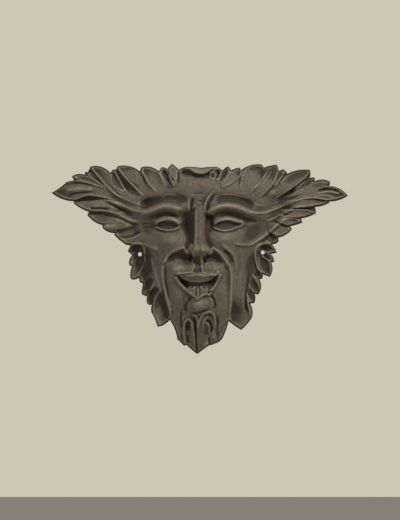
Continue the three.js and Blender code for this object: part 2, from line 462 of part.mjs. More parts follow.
function mouthAndBeard(r) {
  // philtrum
  ridge(r, [[-7, -10], [-9, -16], [-11, -22]], 1.8, 1.4, 1.4, { ends: [0.15, 0.1] });
  ridge(r, [[1, -9], [1, -15], [1.5, -21]], 1.8, 1.4, 1.4, { ends: [0.15, 0.1] });
  boss(r, -16, -17, 9, 7, 2.6);
  boss(r, 10, -17, 9, 7, 2.6);
  boss(r, -35, -25, 6, 18, -2.0, { turn: -5 });
  boss(r, 26, -26, 5, 18, -2.0, { turn: 5 });
  // mouth: hollows under the lip, then the lips
  boss(r, -17, -33.5, 7.5, 4.5, -11, { turn: -42, power: 2.6 });
  boss(r, 11, -33, 7, 4.5, -11, { turn: 42, power: 2.6 });
  ridge(r, [[-23, -28.5], [-14, -32.6], [-4, -34], [6, -32.6], [16, -28.5]],
    -4.0, 1.8, 2.0, { ends: [0.1, 0.1] });
  leaf(r, [[-5, -30], [-4, -38], [-4, -50.5]],
    [3, 5, 7, 5.5], [3, 5, 7.5, 6],
    [43, 47, 48], { rim: [0.4, 0.4], dish: -1.4, fade: 0.15, tip: 1.2, edge: 1.2 });
  leaf(r, [[-28, -24.8], [-17, -26.2], [-4, -28], [9, -26], [20.3, -24.2]],
    [0.5, 3, 4, 3.5], [0.5, 3.5, 4, 3.5],
    [45, 53, 45], { rim: [1.6, 0.3], dish: -1.5, fade: 0, tip: 1.4, edge: 0.8, tilt: 0.8 });
  // lower lip: a pointed leaf with ribs
  ridge(r, [[-28, -26], [-24.8, -33], [-19, -38.8], [-12, -44], [-4, -50.8]],
    5.0, 1.5, 1.3, { ends: [0.06, 0.02] });
  ridge(r, [[20.3, -25.6], [17.8, -32], [13.5, -37.4], [9.5, -42.5], [4, -46], [-4, -50.8]],
    5.0, 1.3, 1.5, { ends: [0.06, 0.02] });
  lipRibs(r);
  ridge(r, [[-3.9, -36], [-4, -49.5]], -2.2, 1.0, 1.0, { ends: [0.1, 0.1] });
  // chin ball
  boss(r, -3, -57, 11, 9.5, 9.5, { power: 2.6 });
  boss(r, -4, -56.5, 4.5, 4, 1.5);
  ridge(r, [[-16, -47], [-17.5, -57], [-15, -66]], -3.5, 2.0, 1.6);
  ridge(r, [[10, -46], [14.5, -56], [13.5, -64]], -3.5, 1.6, 2.0);
  ridge(r, [[-14, -66], [-3, -68.5], [10, -63]], -3, 2, 1.5);
  // beard loops
  beardLoops(r);
  // long locks at the panel's sides
  locks(r);
  ridge(r, [[30, -74], [28, -80], [24.5, -88], [22, -94]], 1.8, 1.2, 1.4);
}

function beardLoops(r) {
  ridge(r, [[-19, -101], [-18.3, -92], [-19.6, -82], [-19, -74], [-15, -70.2], [-11, -72], [-9.6, -79], [-9.6, -90], [-10.5, -103]],
    4.4, 1.9, 1.9, { ends: [0.05, 0.05] });
  ridge(r, [[-14.5, -75], [-14.8, -86], [-14.5, -100]], -3.4, 1.8, 1.8, { ends: [0.1, 0.05] });
  ridge(r, [[-12, -68], [-7.5, -72], [-6.3, -82], [-5.6, -95], [-4.8, -110]],
    -3.2, 1.2, 1.2, { ends: [0.1, 0.05] });
  ridge(r, [[-4, -95], [-4, -82], [-2.5, -74], [2, -67.5], [8, -64.8], [13, -67], [15.2, -74], [14.8, -84], [13.3, -96]],
    4.8, 2.2, 2.2, { ends: [0.15, 0.08] });
  ridge(r, [[0, -86], [2.5, -77], [7, -71.5], [11, -74], [11.5, -82], [9.5, -92]],
    2.2, 1.4, 1.6, { ends: [0.1, 0.1] });
  ridge(r, [[7, -75.5], [9, -82], [8.2, -97]], -4.0, 1.6, 1.8, { ends: [0.1, 0.1] });
  boss(r, 5.5, -82, 2.4, 4, 3.2);
  boss(r, 12.5, -96, 3, 5, 2.6);
  boss(r, 2.5, -100, 5, 4, 2.6, { turn: -40 });
  ridge(r, [[17.5, -66], [18.3, -80], [16.8, -96]], -2.6, 1.3, 1.3);
  ridge(r, [[-22, -68], [-22.5, -82], [-21.3, -97]], -2.6, 1.3, 1.3);
}

function centreRoll(r) {
  ridge(r, [[-22, 92.5], [-16, 94], [-7, 91.8], [0, 90.5], [6, 91.5], [11, 93.5], [18, 95.5]],
    6.0, 3.6, 2.0, { ends: [0.1, 0.1] });
  boss(r, -2, 86, 13, 4.5, -4.5);
  boss(r, 18.2, 89.3, 2.0, 3.2, -5, { turn: -20 });
  ridge(r, [[23.5, 92], [21.5, 88], [19.5, 83.5], [16.5, 80]], 3.0, 1.8, 1.8, { ends: [0.1, 0.2] });
  ridge(r, [[14.5, 91], [11.5, 88], [11.3, 84.3], [14, 83.6], [15, 86]],
    2.4, 1.3, 1.3, { ends: [0.15, 0.1] });
  ridge(r, [[-24, 92], [-24, 84], [-22, 76]], 2.4, 1.8, 2.2);
}

// The bridge, the ball at the tip and a wing on each side
function noseForm(r) {
  const nose = r.filter(({ x, z }) => z < 52 && z > -14 && Math.abs(x - AXIS) < 26);
  const middle = AXIS + 0.3;
  const bridge = (x, z) => (z < -9.5 ? 0 : through(z, NOSE_HIGH)
    - through(z, NOSE_STEEP) * Math.max(Math.abs(x - middle) / through(z, NOSE_WIDE) - 0.62, 0) ** 1.25);
  const ball = (x, z) => 70 - 7 * (((x - middle) / 7) ** 2 + ((z - 3) / 6.5) ** 2);
  lift(nose, bridge, 2);
  lift(nose, ball, 2.5);
  for (const side of [-9.8, 9.6]) {
    const wing = (x, z) => 58 - 9 * (Math.abs((x - middle - side) / 5.2) ** 2.4 + Math.abs((z - 0.3) / 6.4) ** 2.4);
    lift(nose, wing, 2.5);
  }
}

// Wrinkles across the root of the nose
function wrinkles(r) {
  for (const [z, from, to] of [[64, -14, 5], [59.6, -8, 3], [55.4, -8, 2]]) {
    ridge(r, [[from, z - 0.5], [(from + to) / 2, z + 0.4], [to, z - 0.5]], 1.4, 0.9, 1.2);
  }
}

// Ribs that fan over the lower lip
function lipRibs(r) {
  for (const x of [-14, -11, -7.6, -0.6, 3, 6.2]) {
    ridge(r, [[-3.9 + (x + 3.9) * 0.3, -35.5], [x, -45]], 1.1, 0.8, 0.8, { ends: [0.1, 0.2] });
  }
}

// Locks of the long beard on both sides of the mouth
function locks(r) {
  for (let s = 0; s <= 1; s += 0.25) {
    ridge(r, [[-27 + 6 * s, -34 - 8 * s], [-29 + 8 * s, -55], [-28 + 8 * s, -75], [-24.5 + 4 * s, -95]], 0.9, 0.8, 0.9);
    ridge(r, [[20 + 6 * s, -34], [19 + 8 * s, -55], [18.5 + 7 * s, -75], [17 + 5 * s, -92]], 0.9, 0.9, 0.8);
  }
}


// Height over the wall at every place, with the edge rounded down to its own thickness
function carve(places, outline) {
  for (const place of places) place.high = swell(place.x, place.z);
  wings(places);
  sides(places);
  face(places);
  mouthAndBeard(places);
  centreRoll(places);
  for (const place of places) {
    const inward = toOutline(outline, place.x, place.z).inward;
    place.high = EDGE + (place.high - EDGE) * smooth((inward + 0.2) / BEVEL);
  }
}

// Grid lines between two ends, closer together over the face
function columns(from, to) {
  const lines = [from];
  while (lines[lines.length - 1] < to) {
    const away = Math.abs(lines[lines.length - 1] - AXIS);
    lines.push(lines[lines.length - 1] + FACE_STEP + (WING_STEP - FACE_STEP) * smooth((away - 42) / 24));
  }
  return lines;
}

// Flat mesh of the outline: a grid whose points next to the outline are moved onto it, tips first
function outlineMesh(outline) {
  const xs = columns(-WIDTH / 2 - 8, WIDTH / 2 + 6);
  const zs = [];
  for (let z = -118; z < 106; z += ROW_STEP) zs.push(z);
  const places = [];
  for (const z of zs) for (const x of xs) places.push({ x, z, ...toOutline(outline, x, z), on: false });
  const wide = xs.length;
  const put = (place, [x, z]) => Object.assign(place, { x, z, on: true, inward: 0 });

  OUTLINE.forEach(([x, z], i) => {
    const before = OUTLINE[(i + OUTLINE.length - 1) % OUTLINE.length];
    const after = OUTLINE[(i + 1) % OUTLINE.length];
    const isTip = (x - before[0]) * (after[1] - z) - (z - before[1]) * (after[0] - x) < 0;
    if (!isTip) return;
    const free = places.filter((p) => !p.on && Math.hypot(p.x - x, p.z - z) < ROW_STEP * 0.8);
    free.sort((a, b) => Math.hypot(a.x - x, a.z - z) - Math.hypot(b.x - x, b.z - z));
    if (free.length > 0) put(free[0], [x, z]);
  });

  const neighbours = [];
  places.forEach((_, i) => {
    const c = i % wide;
    if (c + 1 < wide) neighbours.push([i, i + 1]);
    if (i + wide < places.length) neighbours.push([i, i + wide]);
    if (c + 1 < wide && i + wide < places.length) neighbours.push(diagonal(i, wide));
  });
  for (const [a, b] of neighbours) {
    const [p, q] = [places[a], places[b]];
    if (p.on || q.on || p.inward > 0 === q.inward > 0) continue;
    const nearest = Math.abs(p.inward) < Math.abs(q.inward) ? p : q;
    put(nearest, nearest.at);
  }

  const triangles = [];
  const add = (a, b, c) => {
    const corners = [places[a], places[b], places[c]];
    if (corners.some((p) => !p.on && p.inward < 0)) return;
    const middle = [0, 1].map((k) => corners.reduce((sum, p) => sum + (k ? p.z : p.x), 0) / 3);
    if (corners.every((p) => p.on) && toOutline(outline, ...middle).inward < 0.05) return;
    triangles.push([a, b, c]);
  };
  for (let i = 0; i + wide < places.length; i += 1) {
    if ((i + 1) % wide === 0) continue;
    const [a, b, c, d] = [i, i + 1, i + 1 + wide, i + wide];
    if (diagonal(i, wide)[0] === a) {
      add(a, b, c);
      add(a, c, d);
    } else {
      add(a, b, d);
      add(b, c, d);
    }
  }
  return { places, triangles };
}

// The diagonal that a cell of the grid is split along, leaning with the leaves on its side of the face
function diagonal(i, wide) {
  return (i % wide) * 2 < wide ? [i + 1, i + wide] : [i, i + 1 + wide];
}

// Closed solid between the relief and the wall plane
function block(outline) {
  const { places, triangles } = outlineMesh(outline);
  const used = [...new Set(triangles.flat())];
  const index = new Map(used.map((i, k) => [i, k]));
  const kept = used.map((i) => places[i]);
  carve(kept, outline);
  const position = [];
  for (const { x, z, high } of kept) position.push(x, -high, z);
  for (const { x, z } of kept) position.push(x, 0, z);
  const faces = [];
  const edges = new Map();
  for (const corners of triangles) {
    const [a, b, c] = corners.map((i) => index.get(i));
    faces.push(a, b, c, a + kept.length, c + kept.length, b + kept.length);
    for (const [p, q] of [[a, b], [b, c], [c, a]]) {
      if (edges.has(`${q},${p}`)) edges.delete(`${q},${p}`);
      else edges.set(`${p},${q}`, [p, q]);
    }
  }
  for (const [p, q] of edges.values()) {
    faces.push(p, p + kept.length, q, q, p + kept.length, q + kept.length);
  }
  return indexed(position, faces);
}

// The hollow behind the face: a coarse relief one wall thickness under the front, cut from the back
function hollow(outline) {
  const places = [];
  const xs = [];
  const zs = [];
  for (let x = -WIDTH / 2; x <= WIDTH / 2; x += HOLLOW_STEP) xs.push(x);
  for (let z = -112; z <= 100; z += HOLLOW_STEP) zs.push(z);
  for (const z of zs) for (const x of xs) places.push({ x, z });

  const probes = [];
  for (const place of places) {
    for (const [dx, dz] of [[0, 0], [0.5, 0], [-0.5, 0], [0, 0.5], [0, -0.5], [0.8, 0.8], [-0.8, 0.8], [0.8, -0.8],
      [-0.8, -0.8], [1, 0], [-1, 0], [0, 1], [0, -1]]) {
      probes.push({ x: place.x + dx * HOLLOW_STEP, z: place.z + dz * HOLLOW_STEP, owner: place });
    }
  }
  carve(probes, outline);
  for (const place of places) place.roof = Infinity;
  for (const probe of probes) probe.owner.roof = Math.min(probe.owner.roof, probe.high - WALL);

  const deep = -20;
  const position = [];
  for (const { x, z, roof } of places) {
    const inward = toOutline(outline, x, z).inward;
    const pad = Math.min(...SCREW_HOLES.map(([hx, hz]) => Math.hypot(x - hx, z - hz)));
    const limit = Math.min(roof, (inward - FLANGE) * 1.6, (pad - PAD) * 1.6);
    position.push(x, -clamp(limit, -5, 60), z);
  }
  for (const { x, z } of places) position.push(x, -deep, z);
  const wide = xs.length;
  const count = places.length;
  const faces = [];
  const quad = (a, b, c, d) => faces.push(a, b, c, a, c, d);
  for (let r = 0; r + 1 < zs.length; r += 1) {
    for (let c = 0; c + 1 < wide; c += 1) {
      const i = r * wide + c;
      quad(i, i + 1, i + 1 + wide, i + wide);
      quad(count + i, count + i + wide, count + i + 1 + wide, count + i + 1);
    }
  }
  const rim = [];
  for (let c = 0; c + 1 < wide; c += 1) rim.push([c, c + 1]);
  for (let r = 0; r + 1 < zs.length; r += 1) rim.push([r * wide + wide - 1, (r + 1) * wide + wide - 1]);
  for (let c = wide - 1; c > 0; c -= 1) rim.push([count - wide + c, count - wide + c - 1]);
  for (let r = zs.length - 1; r > 0; r -= 1) rim.push([r * wide, (r - 1) * wide]);
  for (const [p, q] of rim) quad(p, p + count, q + count, q);
  return indexed(position, faces);
}

function indexed(position, faces) {
  const geometry = new THREE.BufferGeometry();
  geometry.setAttribute('position', new THREE.Float32BufferAttribute(position, 3));
  geometry.setIndex(faces);
  return geometry;
}

// Joins and cuts

const wasm = await Module();
wasm.setup();

function solid(geometry) {
  const bare = geometry.clone();
  bare.deleteAttribute('normal');
  bare.deleteAttribute('uv');
  const merged = mergeVertices(bare, 1e-4);
  return new wasm.Manifold(new wasm.Mesh({
    numProp: 3,
    vertProperties: new Float32Array(merged.attributes.position.array),
    triVerts: new Uint32Array(merged.index.array),
  }));
}

function geometryOf(manifold) {
  const mesh = manifold.getMesh();
  const geometry = indexed([...mesh.vertProperties], [...mesh.triVerts]);
  geometry.computeVertexNormals();
  return geometry;
}

function screwHole([x, z]) {
  const bore = new THREE.CylinderGeometry(SCREW_HOLE / 2, SCREW_HOLE / 2, 60, 20);
  return bore.translate(x, 0, z);
}

function foliateMask() {
  const outline = outlinePoints(1.5);
  let casting = solid(block(outline)).subtract(solid(hollow(outline)));
  for (const hole of SCREW_HOLES) casting = casting.subtract(solid(screwHole(hole)));
  const iron = new THREE.MeshStandardMaterial({ color: 0x54493d, roughness: 0.62, metalness: 0.55 });
  const mesh = new THREE.Mesh(geometryOf(casting), iron);
  mesh.name = 'foliate_mask';
  return mesh;
}

const plaque = new THREE.Group();
plaque.name = 'wall_plaque';
plaque.add(foliateMask());

export default plaque;
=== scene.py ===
"""A foliate mask for a wall: one hollow-backed iron casting, a face with leaf wings, leaf ears and a leaf beard.

The front is a relief, a height over the wall for every x and z of the drawing. It is drawn in millimetres, with x to
the viewer's right and z up from the middle between the two screw holes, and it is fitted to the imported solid's width.
"""
import json
import math

import bpy
import numpy as np
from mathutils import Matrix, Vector
from mathutils.geometry import delaunay_2d_cdt


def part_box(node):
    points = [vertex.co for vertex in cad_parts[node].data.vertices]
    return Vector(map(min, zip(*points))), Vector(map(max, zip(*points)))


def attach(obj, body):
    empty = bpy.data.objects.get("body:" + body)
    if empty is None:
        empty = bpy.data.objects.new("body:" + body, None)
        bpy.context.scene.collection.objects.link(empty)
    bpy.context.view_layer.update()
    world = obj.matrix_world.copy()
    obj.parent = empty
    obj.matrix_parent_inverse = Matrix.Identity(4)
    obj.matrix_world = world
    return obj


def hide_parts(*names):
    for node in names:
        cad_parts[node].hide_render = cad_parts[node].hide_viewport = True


bl_info = {
    "name": "Foliate wall mask",
    "version": (1, 0, 0),
    "blender": (4, 5, 0),
    "location": "3D View > Sidebar > Foliate mask",
    "description": "Casts a foliate iron mask over its packed solid, and lights it on a pale stage",
    "category": "Add Mesh",
}

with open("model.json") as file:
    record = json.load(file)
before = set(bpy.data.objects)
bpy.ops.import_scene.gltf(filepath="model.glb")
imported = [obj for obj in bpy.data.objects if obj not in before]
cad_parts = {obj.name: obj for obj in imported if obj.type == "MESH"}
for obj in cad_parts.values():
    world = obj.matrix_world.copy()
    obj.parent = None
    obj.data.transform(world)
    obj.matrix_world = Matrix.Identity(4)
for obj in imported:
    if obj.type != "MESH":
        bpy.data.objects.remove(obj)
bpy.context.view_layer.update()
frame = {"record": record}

NODE = "foliate_mask"
LOW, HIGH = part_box(NODE)
DRAWN_WIDTH = 330.0  # wing tip to wing tip, in the drawing's millimetres
MM = (HIGH[0] - LOW[0]) / DRAWN_WIDTH  # metres for one of them
RECORDED_IRON = frame["record"]["materials"][0]["base_color"]

AXIS = -3.5  # x of the nose, a little left of the middle as the carver left it
SCREW_HOLES = ((-68.4, -1.0), (68.4, 1.0))  # x and z of each
EDGE = 4.5  # thickness left at the very edge
BEVEL = 2.6  # how far in from the edge the full height is reached
RIM = 0.35  # height of the bead that runs along the edge
RIM_IN = 2.4  # its distance in from the edge
LIP = 0.7  # radius of the rounding at the very edge
PICTURE = (400, 520)  # the picture's width and height

# Outline, clockwise from the left wing tip: corner x, corner z, and the sagitta of the arc to the next corner
OUTLINE = [
    (-166.8, 67.5, -0.7), (-150, 79.5, 0.3), (-142, 81.2, -0.2), (-144.3, 85.7, 1.9), (-129.8, 87.5, 0),
    (-129.3, 90.7, 0.3), (-126.4, 90.2, 0.2), (-123, 97, 3.2), (-101.1, 89.7, 0.3), (-98, 93.6, 0.3),
    (-95.2, 93, 0.4), (-92.5, 97.4, 2.9), (-68.3, 91.2, 0.6), (-66, 96.3, 2.3), (-47.3, 91.6, 0.2),
    (-44, 96, 0.5), (-37.8, 94, 0.4), (-32.5, 99.7, 0.2), (-24.9, 93.3, 0.4), (-17, 96.5, 0.3),
    (0, 95.3, 0.3), (17, 96.5, 0.3), (23.7, 92.4, 0.4), (29.6, 97.1, 0.5), (33.4, 92.3, 0.8),
    (43, 95.4, 0.2), (43.8, 92.5, 2.3), (66.2, 99.2, 0.7), (69.3, 95.4, 0.5), (83.7, 98.9, 0.6),
    (86, 91.7, 0.2), (91.7, 93.7, 0.2), (96.1, 88.9, 1.9), (120.7, 93, 0.9), (120.6, 84.1, 0.1),
    (125.5, 84.9, 0.5), (126.4, 80.4, 2.1), (143, 80.1, 0.7), (142.1, 75, 2.8), (163.2, 64.1, 1.7),
    (142.5, 57.7, 0), (142.4, 56.1, 0.9), (126.5, 51.5, 0.2), (127.8, 44.8, 1), (111, 38.8, 0),
    (112.6, 34.2, 0.4), (98.8, 30.1, 0), (101, 26.9, 1.8), (85.1, 17.3, 0.2), (86.3, 14, 1.3),
    (78.7, 10.2, 0.5), (84, 0.8, 0.3), (77, -0.6, 1.4), (81, -9.6, 0.2), (78, -10, 2.1),
    (76.3, -26.2, 0.3), (68.4, -23.1, 0.6), (67.5, -28.5, 0.1), (64.8, -28.8, 2.5), (63.5, -46, 0.2),
    (59.4, -44.9, 1.1), (59, -55.5, 0.1), (54.4, -55.8, 1.6), (56.5, -71.5, 0.6), (44.4, -85.4, 0.3),
    (30.3, -75.5, 0.5), (24, -94, 1.2), (15, -100.5, 0.4), (8.5, -102.5, 0), (-4.5, -112.2, 0.4),
    (-16.5, -102, 0.1), (-19.7, -103.2, -0.5), (-26.8, -96, -1.4), (-35, -74.3, 0.3), (-43, -80.5, 0),
    (-48.8, -81.9, -0.6), (-55.5, -66, 0.8), (-55, -57.2, 0.9), (-60.3, -56, 0.6), (-60.5, -47.8, 0.6),
    (-66.6, -45, 0.3), (-65, -33.5, 0.5), (-68.8, -31.5, 0), (-69.5, -27.4, 0.5), (-76.8, -29.5, 0.7),
    (-79.3, -25, 0.6), (-77.2, -14.7, 0.8), (-80.8, -11, 0.9), (-77, -2, 0.2), (-82, 2.5, 0.2),
    (-78.7, 9, 0.3), (-84, 9.5, 0.6), (-97, 20.5, 0.2), (-96.4, 22.5, 1.6), (-109.8, 28, 0.2),
    (-110.2, 31.3, 1.3), (-124.5, 39.8, 0.2), (-127, 42.5, 0.1), (-125.3, 45.9, 0.8), (-142, 55.5, 0.1),
    (-142, 58, 2.4),
]

# The plain swell under the leaves, by height z: its height over the wall on the nose's line and at the borders
# of the bearded panel, and where those borders lie
CROWN = [
    (96, 33), (88, 32), (78, 34), (68, 37), (60, 41), (50, 45), (40, 44), (30, 43), (15, 45), (0, 47),
    (-20, 48), (-35, 45), (-50, 43), (-65, 38), (-80, 30), (-95, 21), (-112, 11),
]
BORDER_HIGH = [
    (96, 23), (80, 26), (60, 29), (45, 31), (30, 32), (16, 35), (0, 38), (-12, 39), (-28, 38), (-42, 36),
    (-52, 33), (-62, 29), (-74, 22), (-85, 18), (-95, 14), (-112, 9),
]
LEFT_BORDER = [
    (96, -46), (80, -52), (60, -60), (45, -62), (30, -58), (16, -52), (0, -45), (-12, -43), (-28, -43.5),
    (-42, -40), (-52, -37.5), (-62, -35.5), (-74, -34.5), (-85, -30), (-96, -26), (-112, -18),
]
RIGHT_BORDER = [
    (96, 45), (80, 50), (60, 56), (45, 56), (30, 52), (16, 46), (0, 38), (-14, 33), (-28, 33), (-45, 32.5),
    (-70, 32.8), (-85, 28), (-96, 23), (-112, 12),
]
NOSE_HIGH = [
    (50, 47), (45, 51), (35, 53.5), (25, 56.5), (15, 60.5), (8, 64.5), (4, 66.5), (1.5, 65), (-2, 60), (-5, 56),
    (-9, 50.5), (-12, 47),
]
NOSE_WIDE = [
    (50, 4.4), (44, 4.4), (30, 4.6), (20, 5.0), (12, 6.0), (6, 8), (2, 8.6), (-3, 7.6), (-9, 6.4),
]
NOSE_STEEP = [(50, 10), (40, 16), (20, 22), (5, 26), (-10, 26)]


def smooth(u):
    """Rises from 0 at u = 0 to 1 at u = 1, level at both ends: u squared times 3 less twice u."""
    u = np.clip(u, 0.0, 1.0)
    return u * u * (3.0 - 2.0 * u)


def bell(u, power=2.0):
    """1 in the middle, falling to about a third at u = 1: e to minus u to the power."""
    return np.exp(-np.abs(u) ** power)


def through(at, pairs):
    """A smooth value through (place, value) pairs, flat past the ends: cubic pieces with averaged slopes."""
    places, values = (np.array(column, float) for column in zip(*sorted(pairs)))
    slopes = np.zeros(len(places))
    slopes[1:-1] = (values[2:] - values[:-2]) / (places[2:] - places[:-2])
    at = np.clip(at, places[0], places[-1])
    i = np.clip(np.searchsorted(places, at, side="right") - 1, 0, len(places) - 2)
    wide = places[i + 1] - places[i]
    s = (at - places[i]) / wide
    start = (2 * s ** 3 - 3 * s ** 2 + 1) * values[i] + (s ** 3 - 2 * s ** 2 + s) * wide * slopes[i]
    end = (3 * s ** 2 - 2 * s ** 3) * values[i + 1] + (s ** 3 - s ** 2) * wide * slopes[i + 1]
    return start + end


def evenly(values):
    """Pairs of share and value, with the values spread evenly from 0 to 1."""
    return list(zip(np.linspace(0, 1, len(values)), values))


def curve(points, pieces=12):
    """A smooth line through points: a Catmull-Rom spline with that many pieces between two points."""
    p = np.asarray(points, float)
    if len(p) == 2:
        t = np.linspace(0, 1, pieces + 1)[:, None]
        return p[0] * (1 - t) + p[1] * t
    ends = np.vstack([2 * p[0] - p[1], p, 2 * p[-1] - p[-2]])
    t = np.linspace(0, 1, pieces, endpoint=False)[:, None]
    spans = []
    for a, b, c, d in zip(ends, ends[1:], ends[2:], ends[3:]):
        spans.append(b + ((c - a) * t + (2 * a - 5 * b + 4 * c - d) * t ** 2 + (3 * b - a - 3 * c + d) * t ** 3) / 2)
    return np.vstack(spans + [p[-1:]])


def arcs(corners, step):
    """Points along a closed line of shallow arcs, no further apart than step."""
    points = []
    for (x0, z0, sagitta), (x1, z1, _) in zip(corners, corners[1:] + corners[:1]):
        chord = math.hypot(x1 - x0, z1 - z0)
        t = np.arange(math.ceil(chord / step)) / math.ceil(chord / step)
        out = 4 * sagitta * t * (1 - t) / chord
        points.append(np.stack([x0 + (x1 - x0) * t - (z1 - z0) * out, z0 + (z1 - z0) * t + (x1 - x0) * out], 1))
    return np.vstack(points)


def to_line(x, z, a, b):
    """Distance of each place from the straight line a to b, and the share of its length there."""
    along = b - a
    share = np.clip(((x - a[0]) * along[0] + (z - a[1]) * along[1]) / (along @ along), 0, 1)
    return np.hypot(x - a[0] - share * along[0], z - a[1] - share * along[1]), share


class Relief:
    """Heights over the wall at a set of places, raised and cut by strokes."""

    def __init__(self, x, z):
        self.x, self.z = x, z
        self.high = swell(x, z)

    def near(self, line, reach):
        """Where the places lie in a line's box, widened by reach."""
        low, high = line.min(0) - reach, line.max(0) + reach
        return (self.x > low[0]) & (self.x < high[0]) & (self.z > low[1]) & (self.z < high[1])

    def follow(self, line, places):
        """The nearest point of a line: share of its length, and distance from it, positive to its left."""
        x, z = self.x[places], self.z[places]
        lengths = np.hypot(*(line[1:] - line[:-1]).T)
        starts = np.concatenate([[0], np.cumsum(lengths)])
        best = np.full(x.shape, 1e9)
        along = np.zeros(x.shape)
        side = np.ones(x.shape)
        for a, b, start, length in zip(line, line[1:], starts, lengths):
            far, share = to_line(x, z, a, b)
            closer = far < best
            best = np.where(closer, far, best)
            along = np.where(closer, start + share * length, along)
            turn = (b[0] - a[0]) * (z - a[1]) - (b[1] - a[1]) * (x - a[0])
            side = np.where(closer, np.where(turn >= 0, 1.0, -1.0), side)
        return along / starts[-1], best * side

    def ridge(self, points, high, left=1.5, right=1.5, ends=(0.2, 0.2), power=2.0):
        """Adds a bell-shaped ridge along a line, or a groove where high is below 0; it fades in over its ends."""
        line = curve(points)
        places = self.near(line, 2.6 * max(left, right))
        along, across = self.follow(line, places)
        form = high * bell(across / np.where(across > 0, left, right), power)
        if ends[0]:
            form = form * smooth(along / ends[0])
        if ends[1]:
            form = form * smooth((1 - along) / ends[1])
        self.high[places] += form

    def boss(self, x, z, along, across, high, turn=0.0, power=2.0):
        """Adds a round or oval bell at a place, or a hollow where high is below 0."""
        c, s = math.cos(math.radians(turn)), math.sin(math.radians(turn))
        dx, dz = self.x - x, self.z - z
        self.high += high * bell(np.hypot((dx * c + dz * s) / along, (dz * c - dx * s) / across), power)

    def leaf(self, spine, left, right, high, rim=(1.2, 1.2), dish=1.2, fade=0.35, tip=2.0, rib=0.0, edge=0.6,
             width=1.6, tilt=0.0):
        """Lays a leaf over the relief, from root to tip along a spine.

        left and right are half widths at even shares of its length, closing to nothing at the tip, and high its
        heights. Its middle is dished, its two sides carry a bead, and its root melts into what lies below.
        """
        line = curve(spine)
        places = self.near(line, max(left + right) + 3)
        along, across = self.follow(line, places)
        wide = [np.maximum(through(along, evenly([w ** tip for w in half] + [0])), 0) ** (1 / tip)
                for half in (left, right)]
        inward = np.where(across > 0, wide[0] - across, wide[1] + across)
        share = np.clip(across / np.maximum(np.where(across > 0, wide[0], wide[1]), 0.4), -1.2, 1.2)
        form = through(along, evenly(high)) - dish * (1 - share * share) + tilt * share
        form = form + rim[0] * bell((np.abs(wide[0] - across - 0.9)) / width)
        form = form + rim[1] * bell((np.abs(wide[1] + across - 0.9)) / width) + rib * bell(across / 1.3)
        laid = smooth((inward + edge) / (2 * edge))
        if fade:
            laid = laid * smooth(along / fade)
        self.high[places] += laid * (form - self.high[places])

    def lift(self, form, places, soft):
        """Raises the relief to a form where that is higher, with a soft inner corner."""
        high = self.high[places]
        over = np.clip((form - high) / soft, -1, 1)
        self.high[places] = high + soft * (over + 1) ** 2 / 4 + np.maximum(form - high - soft, 0)


def swell(x, z):
    """The plain form under the leaves.

    Above the nose it is one soft bell over level wings. Below, it is the crowned panel of the mouth and beard
    between its borders, and sides that fall from them to the ear leaves.
    """
    off = np.abs(x - AXIS)
    left = x < AXIS
    wings = 8 + 24 * bell(off / 82, 1.6)
    crown, border = through(z, CROWN), through(z, BORDER_HIGH)
    wide = np.where(left, AXIS - through(z, LEFT_BORDER), through(z, RIGHT_BORDER) - AXIS)
    top = smooth((z - 70) / 30)
    above = wings + (crown - wings) * bell(off / (np.where(left, 62, 58) - 8 * top), 2.6) - 3 * top * bell(off / 90)
    panel = crown - (crown - border) * np.minimum(off / wide, 1) ** 2.4
    sides = 13 + (border - 13) * (1 - smooth((off - wide) / np.where(left, 20, 30)))
    below = np.where(off <= wide, panel, sides)
    return below + (above - below) * smooth((z + 8) / 34)


